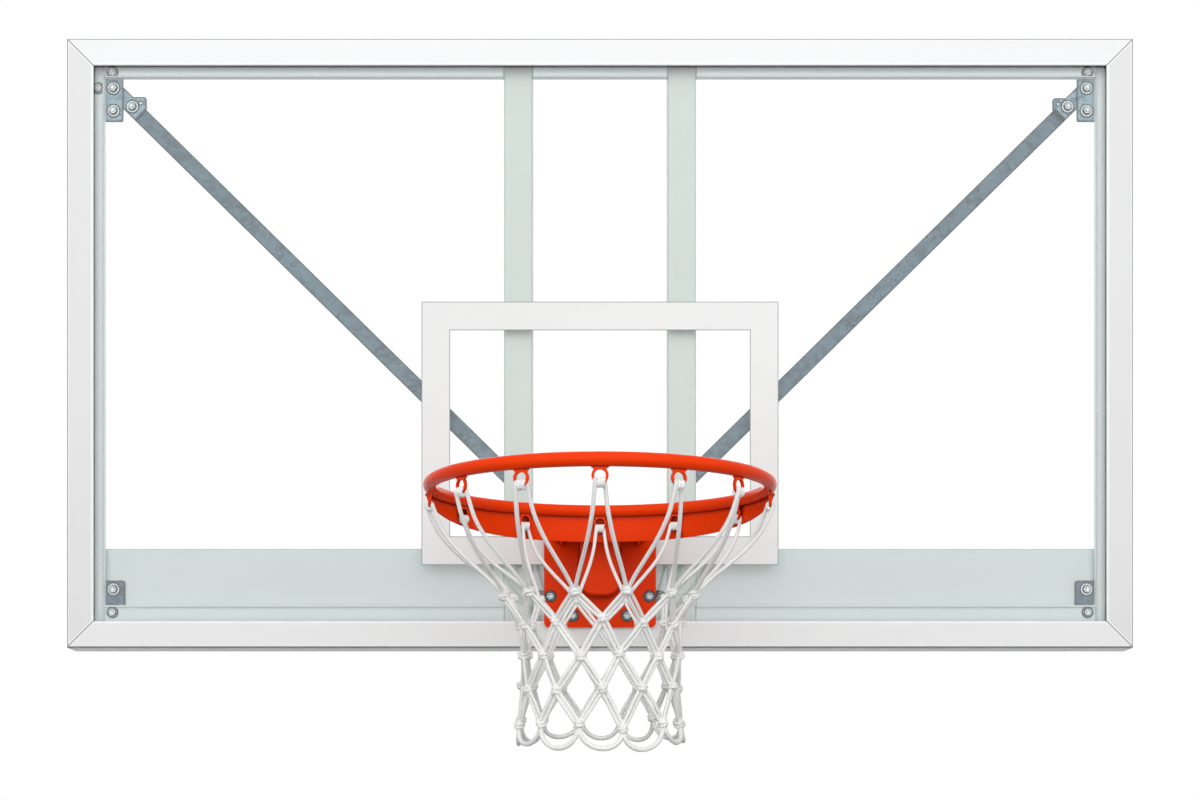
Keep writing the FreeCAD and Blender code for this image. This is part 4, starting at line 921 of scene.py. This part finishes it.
def hook_angles():
    """Angle of each net hook from the front, read from the hooks themselves."""
    middles = [(low + high) / 2 - RING_CENTRE for low, high in islands("net_hooks")]
    return [math.radians(turn) for turn in sorted(round(math.degrees(math.atan2(spot.x, -spot.y))) % 360
                                                  for spot in middles)]


def outward(spot):
    """Level direction from the ring's axis to a spot."""
    return ((spot - RING_CENTRE) * Vector((1, 1, 0))).normalized()


def net_spot(row, column, sizes, stray):
    """Place of a knot: the first row and every other one stand half a column round from the hooks."""
    shift = 0.5 if row % 2 == 0 else 0.0
    angle = 2 * math.pi * (column + shift) / sizes.columns
    around, rise, out = stray[row, column % sizes.columns]
    radius = sizes.row_radii[row]
    return ring_spot(angle + around / radius, radius + out, rise - sizes.row_depths[row])


def leg(shape, one, two, sizes, dice, uv, steps=8):
    """Two cords side by side from one knot to the next, with a little slack and turn."""
    out = outward(one)
    side = (two - one).normalized().cross(out).normalized()
    start, stop = (dice.uniform(-turn, turn) for turn in LEG_TURNS)
    bow = out * dice.uniform(-sizes.leg_dip, sizes.leg_bow)
    spread = dice.uniform(1.0, LEG_SPREAD)
    for sign in (-1, 1):
        path = []
        for share in shares(steps):
            turn = start + (stop - start) * share
            apart = sizes.cord_radius * (1 + (spread - 1) * math.sin(share * math.pi)) * sign
            path.append(one.lerp(two, share) + (side * math.cos(turn) + out * math.sin(turn)) * apart
                        + bow * math.sin(share * math.pi))
        tube(shape, path, sizes.cord_radius, uv=uv)


def knot(shape, spot, swell, sizes, dice, uv, steps_per_turn=14):
    """A collar of cord wrapped round the legs, its two ends tucked in, and one turn that leans across it."""
    tilt = Matrix.Rotation(dice.uniform(-KNOT_TILT, KNOT_TILT), 3, outward(spot))
    start = dice.uniform(0, 2 * math.pi)
    pitch = sizes.cord_radius * KNOT_PITCH_SHARE
    path = []
    for share in shares(int(sizes.knot_wraps * steps_per_turn)):
        turn = start + share * sizes.knot_wraps * 2 * math.pi
        near_end = max(0.0, abs(share - 0.5) * 2 - KNOT_TUCK_START) / (1 - KNOT_TUCK_START)
        wave = 1 + KNOT_WAVE_SHARE * math.sin(KNOT_WAVES * turn)
        wide = sizes.knot_radius * swell * (1 - KNOT_TUCK_SHARE * near_end) * wave
        level = (share - 0.5) * sizes.knot_wraps * pitch
        path.append(spot + tilt @ Vector((math.cos(turn) * wide, math.sin(turn) * wide, level)))
    tube(shape, path, sizes.cord_radius, uv=uv)
    lean = Matrix.Rotation(dice.choice((-KNOT_LEAN, KNOT_LEAN)), 3, outward(spot))
    wide = sizes.knot_radius * swell * KNOT_CROSS_SHARE
    cross = [spot + lean @ Vector((math.cos(turn), math.sin(turn), 0)) * wide
             for turn in turns(steps_per_turn)]
    tube(shape, cross, sizes.cord_radius, uv=uv, closed=True)


def hook_strand(shape, angle, left, right, sizes, goal, dice, uv, steps_per_turn=10):
    """One cord from a knot up to a hook, round its lower bar and down to the next knot."""
    bar = ring_spot(angle, RING_RADIUS, -ROD_RADIUS - goal.hook_bar)
    out = Vector((math.sin(angle), -math.cos(angle), 0))
    side = Vector((math.cos(angle), math.sin(angle), 0))
    rise = Vector((0, 0, 1))
    width = sizes.hook_cord * WRAP_PITCH_SHARE * (sizes.hook_wraps - 0.5)
    wraps = []
    for share in shares(int(sizes.hook_wraps * steps_per_turn)):
        turn = 2 * math.pi * sizes.hook_wraps * share
        across = width * (share - 0.5)
        wraps.append(bar + side * across + (out * math.cos(turn) + rise * math.sin(turn)) * sizes.hook_wrap)

    def hang(knot_at, top):
        """From the knot up to the hook, which the cord leaves almost straight down."""
        chord = knot_at - top
        stray = outward(knot_at) * sizes.slack * dice.uniform(-1, 1)
        below = top + chord * HANG_ACROSS_SHARE - rise * chord.length * HANG_DOWN_SHARE + stray
        above = knot_at - chord * HANG_END_SHARE + stray
        path = []
        for share in shares(HANG_STEPS)[:0:-1]:
            rest = 1 - share
            path.append(top * rest ** 3 + below * 3 * share * rest ** 2 + above * 3 * share ** 2 * rest
                        + knot_at * share ** 3)
        return path

    spots = hang(left, wraps[0]) + wraps + list(reversed(hang(right, wraps[-1])))
    tube(shape, smooth_path(spots, steps=3), sizes.hook_cord, uv=uv)


def hem_loop(shape, one, two, low, sizes, uv, steps=18):
    """The rounded loop that hangs between two knots of the last row."""
    middle = one.lerp(two, 0.5)
    path = []
    for share in shares(steps):
        turn = math.pi * share
        path.append(middle - (two - one) / 2 * math.cos(turn) + (low - middle) * math.sin(turn) ** HEM_POWER)
    tube(shape, path, sizes.hem_cord, uv=uv)


# Operators

class BACKBOARD_OT_stage(bpy.types.Operator):
    """Camera, soft lamps, white surround and pale floor"""
    bl_idname = "backboard.stage"
    bl_label = "Stage"

    def execute(self, context):
        stage = settings("stage")
        self.set_camera(stage)
        self.set_world(stage)
        self.lay_floor(stage)
        above = CAD_HIGH.z + stage.key_rise
        beside = -stage.key_ahead * stage.side_ahead_share
        spots = {"key": (0, -stage.key_ahead, above), "front": (0, -stage.front_ahead, stage.front_height),
                 "back": (0, stage.back_behind, above)}
        for kind, spot in spots.items():
            self.hang_lamp(kind + "_lamp", kind, spot)
        for name, side in (("left_lamp", CAD_LOW.x), ("right_lamp", CAD_HIGH.x)):
            self.hang_lamp(name, "side", (side * stage.side_out_share, beside, stage.side_height))
        return {"FINISHED"}

    def set_camera(self, stage):
        camera = bpy.data.objects.new("camera", bpy.data.cameras.new("camera"))
        bpy.context.scene.collection.objects.link(camera)
        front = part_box("frame_top")[0].y
        camera.location = (0, front - stage.camera_gap, stage.camera_height)
        camera.rotation_euler = (math.pi / 2, 0, 0)
        camera.data.lens = stage.lens
        camera.data.shift_y = (stage.horizon_row - IMAGE_HEIGHT / 2) / IMAGE_WIDTH
        camera.data.clip_end = stage.view_reach
        bpy.context.scene.camera = camera
        bpy.context.scene.view_settings.view_transform = "Standard"

    def set_world(self, stage):
        """White where camera, gloss and glass look; a softer fill for everything else."""
        world = bpy.data.worlds.new("surround")
        world.use_nodes = True
        graph = Graph(world.node_tree)
        white = graph.tree.nodes["Background"]
        graph.feed(white.inputs["Color"], WHITE)
        graph.feed(white.inputs["Strength"], 1.0)
        fill = graph.add("ShaderNodeBackground", {"Color": (*stage.fill_tint, 1), "Strength": stage.fill})
        mix = graph.add("ShaderNodeMixShader", {0: graph.seen(), 1: fill, 2: white.outputs[0]})
        graph.feed(graph.tree.nodes["World Output"].inputs["Surface"], mix)
        bpy.context.scene.world = world

    def lay_floor(self, stage):
        shape = bmesh.new()
        bmesh.ops.create_circle(shape, cap_ends=True, segments=96, radius=stage.floor_radius)
        mesh = as_mesh("floor", shape)
        floor = bpy.data.objects.new("floor", mesh)
        floor.location = (0, RING_CENTRE.y, CAD_LOW.z - stage.floor_drop)
        bpy.context.scene.collection.objects.link(floor)
        finish = Finish("pale_floor")
        far = finish.add("ShaderNodeVectorMath", {0: finish.place}, output="Value", operation="LENGTH")
        fade = finish.ramp(far, stage.floor_radius * stage.fade_start_share,
                           stage.floor_radius * stage.fade_stop_share, bend="SMOOTHSTEP")
        seen = finish.seen()
        white = finish.add("ShaderNodeEmission", {"Color": WHITE, "Strength": 1.0})
        pale = finish.drift(finish.noise(scale=40), stage.floor_white, down=0.985, up=1.0)
        finish.set(Base_Color=finish.mix(seen, tuple(stage.floor_grey), pale), Roughness=0.85)
        finish.show(finish.add("ShaderNodeMixShader", {0: finish.math("MULTIPLY", fade, seen),
                                                       1: finish.shader.outputs[0], 2: white}))
        mesh.materials.append(finish.material)

    def hang_lamp(self, name, kind, spot):
        stage = settings("stage")
        lamp = bpy.data.lights.new(name, "AREA")
        lamp.shape = "DISK"
        lamp.size = getattr(stage, kind + "_size")
        lamp.energy = getattr(stage, kind + "_power")
        thing = bpy.data.objects.new(name, lamp)
        thing.location = spot
        aim = Vector((0, 0, stage.aim_height)) - thing.location
        thing.rotation_euler = aim.to_track_quat("-Z", "Y").to_euler()
        thing.visible_camera = False
        bpy.context.scene.collection.objects.link(thing)


class BACKBOARD_OT_frame(bpy.types.Operator):
    """White frame members, gaskets, corner keys"""
    bl_idname = "backboard.frame"
    bl_label = "Frame"

    def execute(self, context):
        board = settings("board")
        # Each member gets its own copy of the white, lighter or darker as painted light: lightest on top,
        # darkest on the sides.
        white, top, foot = (paint(name, getattr(board, name), roughness=0.34, peel=650, drift=0.015,
                                  lines=frame_lines)
                            for name in ("frame_white", "top_white", "foot_white"))
        black = rubber("gasket_black", board.gasket_black)
        for side, finish in (("top", top), ("bottom", foot), ("left", white), ("right", white)):
            dress("frame_" + side, finish, board.frame_edge)
            keep("gasket_" + side, black)
        keep("glass_grommets", black)
        keep("corner_keys", bright_metal("mill_aluminium", board.aluminium, roughness=0.42))
        return {"FINISHED"}


class BACKBOARD_OT_glass(bpy.types.Operator):
    """Clear glass with the printed target square"""
    bl_idname = "backboard.glass"
    bl_label = "Glass"

    def execute(self, context):
        board = settings("board")
        clear = glass("clear_glass", board.glass_tint, board.glass_index, board.glass_faces)
        dress("glass_panel", clear, board.glass_edge)
        shape = bmesh.new()
        self.print_line(shape, board.square_line, board.keyline)
        # The second material is the grey band along the line's edges: painted shade of the print's edge.
        finishes = [print_white("square_white", board.square_white),
                    print_white("square_edge", board.keyline_grey)]
        add_piece("printed_square", shape, finishes, "board", ["target_square"])
        return {"FINISHED"}

    def print_line(self, shape, line, key):
        """The square's line, white in front and behind, with a narrow grey band of painted shade along both
        of its edges.
        """
        low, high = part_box("target_square")

        def corners(inset, y):
            left, right, foot, top = low.x + inset, high.x - inset, low.z + inset, high.z - inset
            return [Vector((x, y, z)) for x, z in ((left, foot), (right, foot), (right, top), (left, top))]

        front, back = (0, key, line - key, line), (line, 0)
        rings = [corners(inset, low.y) for inset in front] + [corners(inset, high.y) for inset in back]
        skin_rings(shape, rings, closed=True)
        bmesh.ops.recalc_face_normals(shape, faces=shape.faces)
        white_front, white_back = front.index(key), len(front)
        for index, face in enumerate(shape.faces):
            band = index // len(rings[0])
            face.material_index = 0 if band in (white_front, white_back) else 1


class BACKBOARD_OT_rails(bpy.types.Operator):
    """Painted rails, uprights, goal plates and cross member behind the glass"""
    bl_idname = "backboard.rails"
    bl_label = "Rails and uprights"

    def execute(self, context):
        board = settings("board")
        # The rails take a lighter copy of the grey-green paint: painted light against the shade under the
        # frame's lip.
        tones = {"bottom_rail": board.foot_grey, "rail": board.rail_pale_lit, "upright": board.upright_grey,
                 "plate": board.plate_grey}
        edge = (board.steel_line, board.steel_shade)
        paints = {kind: paint(kind + "_grey", base, roughness=0.45, peel=420, drift=0.03, gloss=0.25,
                              edge=None if kind == "bottom_rail" else edge)
                  for kind, base in tones.items()}
        for node in nodes_of("rail_grey"):
            kind = next((kind for kind in tones if kind in node), "plate")
            dress(node, paints[kind], board.steel_edge)
        return {"FINISHED"}


BRACE_TURN = math.radians(45)


class BACKBOARD_OT_braces(bpy.types.Operator):
    """Galvanised brackets, lugs and braces"""
    bl_idname = "backboard.braces"
    bl_label = "Brackets and braces"

    def execute(self, context):
        board = settings("board")

        def zinc(name, kind, turn=0.0):
            dark, light = getattr(board, kind + "_dark"), getattr(board, kind + "_light")
            return galvanised("galvanised_" + name, dark, light, turn, board.brace_edge_shade)

        plain, low = zinc("plate", "bracket"), zinc("foot", "brace")
        finishes = {"brace_left": zinc("left", "brace", BRACE_TURN),
                    "brace_right": zinc("right", "brace", -BRACE_TURN)}
        for node in nodes_of("galvanised_steel"):
            finish = low if node.startswith("lower_bracket") else plain
            dress(node, finishes.get(node, finish), board.brace_edge)
        return {"FINISHED"}


class BACKBOARD_OT_fasteners(bpy.types.Operator):
    """Flange bolts, nuts, screws and sleeves"""
    bl_idname = "backboard.fasteners"
    bl_label = "Fasteners"

    def execute(self, context):
        board = settings("board")
        zinc = bright_metal("bright_zinc", board.zinc, roughness=0.26, metallic=0.8)
        # The rail bolts take a lighter copy of the zinc: painted light where they sit in the frame's shade.
        pale = bright_metal("pale_zinc", board.pale_zinc, roughness=0.4, metallic=0.1)
        dark = bright_metal("dark_zinc", board.dark_zinc, roughness=0.4, metallic=0.2)
        heads = {"cross_bolts": dark, "rail_bolts": pale}
        # The bolts' second material: painted shade in the dish and groove and as a dark ring round each
        # flange.
        black = rubber("washer_black", board.washer_black)
        dice = random.Random(board.fastener_seed)
        for node in nodes_of("zinc_fasteners"):
            if node.endswith("_bolts"):
                fastener_group(node, flange_bolt, [heads.get(node, zinc), black], dice)
            elif node.endswith("_nuts"):
                fastener_group(node, hex_nut, [zinc], dice)
            elif node.endswith("_screws"):
                fastener_group(node, button_screw, [zinc], dice)
            else:
                keep(node, zinc)
        return {"FINISHED"}


class BACKBOARD_OT_goal(bpy.types.Operator):
    """Mount plate, hinge ears, spring housing, neck, ring, band and hooks"""
    bl_idname = "backboard.goal"
    bl_label = "Goal"

    def execute(self, context):
        goal = settings("goal")
        orange = paint("goal_orange", goal.orange, roughness=0.24, peel=480, drift=0.05, gloss=0.07,
                       crease=(goal.crease_reach, goal.crease_tone))
        for node in ("mount_plate", "hinge_ears", "spring_housing", "rim_neck"):
            dress(node, orange, goal.plate_edge, segments=3)
        dress("net_hooks", orange, goal.hook_edge)
        rod = bmesh.new()
        ring_rod(rod)
        add_piece("ring_rod", rod, [orange], "rim", ["ring"])
        band = bmesh.new()
        skirt_band(band, goal)
        bmesh.ops.recalc_face_normals(band, faces=band.faces)
        add_piece("ring_band", band, [orange], "rim", ["ring_skirt"])
        return {"FINISHED"}


class BACKBOARD_OT_breakaway(bpy.types.Operator):
    """Hinge pin, clips, plunger and the spring that gives"""
    bl_idname = "backboard.breakaway"
    bl_label = "Breakaway parts"

    def execute(self, context):
        goal = settings("goal")
        steel = bright_metal("oiled_steel", goal.steel, roughness=0.3)
        for node in ("hinge_pin", "pin_clips", "spring_plunger"):
            dress(node, steel, goal.pin_edge)
        low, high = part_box("breakaway_spring")
        shape = bmesh.new()
        coil(shape, low, high, goal.spring_wire, goal.spring_turns)
        spring = add_piece("coil_spring", shape, [steel], "board", ["breakaway_spring"])
        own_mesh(spring)
        return {"FINISHED"}


class BACKBOARD_OT_net(bpy.types.Operator):
    """Knotted cord net on the twelve hooks"""
    bl_idname = "backboard.net"
    bl_label = "Net"

    def execute(self, context):
        sizes, goal = settings("net"), settings("goal")
        dice = random.Random(sizes.seed)
        rows = len(sizes.row_radii) - 1
        columns = sizes.columns
        stray = {(row, column): [dice.uniform(-1, 1) * sizes.sway for axis in range(3)]
                 for row in range(rows + 1) for column in range(columns)}
        shape = bmesh.new()
        uv = shape.loops.layers.uv.new("cord")
        for row in range(rows):
            for column in range(columns):
                spot = net_spot(row, column, sizes, stray)
                knot(shape, spot, 1.0 if row else FIRST_KNOT_SWELL, sizes, dice, uv)
                first = column - 1 if row % 2 else column
                for below in (first, first + 1):
                    if row + 1 < rows:
                        leg(shape, spot, net_spot(row + 1, below, sizes, stray), sizes, dice, uv)
        for column, angle in enumerate(hook_angles()):
            left, right = (net_spot(0, column + step, sizes, stray) for step in (-1, 0))
            hook_strand(shape, angle, left, right, sizes, goal, dice, uv)
            one, two = (net_spot(rows - 1, column + step, sizes, stray) for step in (-1, 0))
            hem_loop(shape, one, two, net_spot(rows, column, sizes, stray), sizes, uv)
        bmesh.ops.recalc_face_normals(shape, faces=shape.faces)
        white = braided("net_cord", sizes.cord_white, sizes.cord_shade_and_wear)
        add_piece("cord_net", shape, [white], "rim", ["net"], smooth=60)
        return {"FINISHED"}


STEPS = (BACKBOARD_OT_stage, BACKBOARD_OT_frame, BACKBOARD_OT_glass, BACKBOARD_OT_rails, BACKBOARD_OT_braces,
         BACKBOARD_OT_fasteners, BACKBOARD_OT_goal, BACKBOARD_OT_breakaway, BACKBOARD_OT_net)
GROUPS = {"board": BoardSettings, "goal": GoalSettings, "net": NetSettings, "stage": StageSettings}


class BACKBOARD_PT_steps(bpy.types.Panel):
    """Steps and sizes of the backboard"""
    bl_label = "Backboard"
    bl_idname = "BACKBOARD_PT_steps"
    bl_space_type = "VIEW_3D"
    bl_region_type = "UI"
    bl_category = "Backboard"

    def draw(self, context):
        for step in STEPS:
            self.layout.operator(step.bl_idname)
        for group in GROUPS:
            box = self.layout.box()
            box.label(text=group.capitalize())
            values = settings(group)
            for name in values.bl_rna.properties.keys():
                if name not in ("rna_type", "name"):
                    box.prop(values, name, text=name.replace("_", " ").capitalize())


def register():
    for kind in (*GROUPS.values(), *STEPS, BACKBOARD_PT_steps):
        bpy.utils.register_class(kind)
    for group, kind in GROUPS.items():
        setattr(bpy.types.Scene, "backboard_" + group, bpy.props.PointerProperty(type=kind))


def unregister():
    for group in GROUPS:
        delattr(bpy.types.Scene, "backboard_" + group)
    for kind in (BACKBOARD_PT_steps, *reversed(STEPS), *GROUPS.values()):
        bpy.utils.unregister_class(kind)


def main():
    register()
    bpy.ops.backboard.stage()
    bpy.ops.backboard.frame()
    bpy.ops.backboard.glass()
    bpy.ops.backboard.rails()
    bpy.ops.backboard.braces()
    bpy.ops.backboard.fasteners()
    bpy.ops.backboard.goal()
    bpy.ops.backboard.breakaway()
    bpy.ops.backboard.net()
    bpy.context.view_layer.update()


if __name__ == "__main__":
    main()
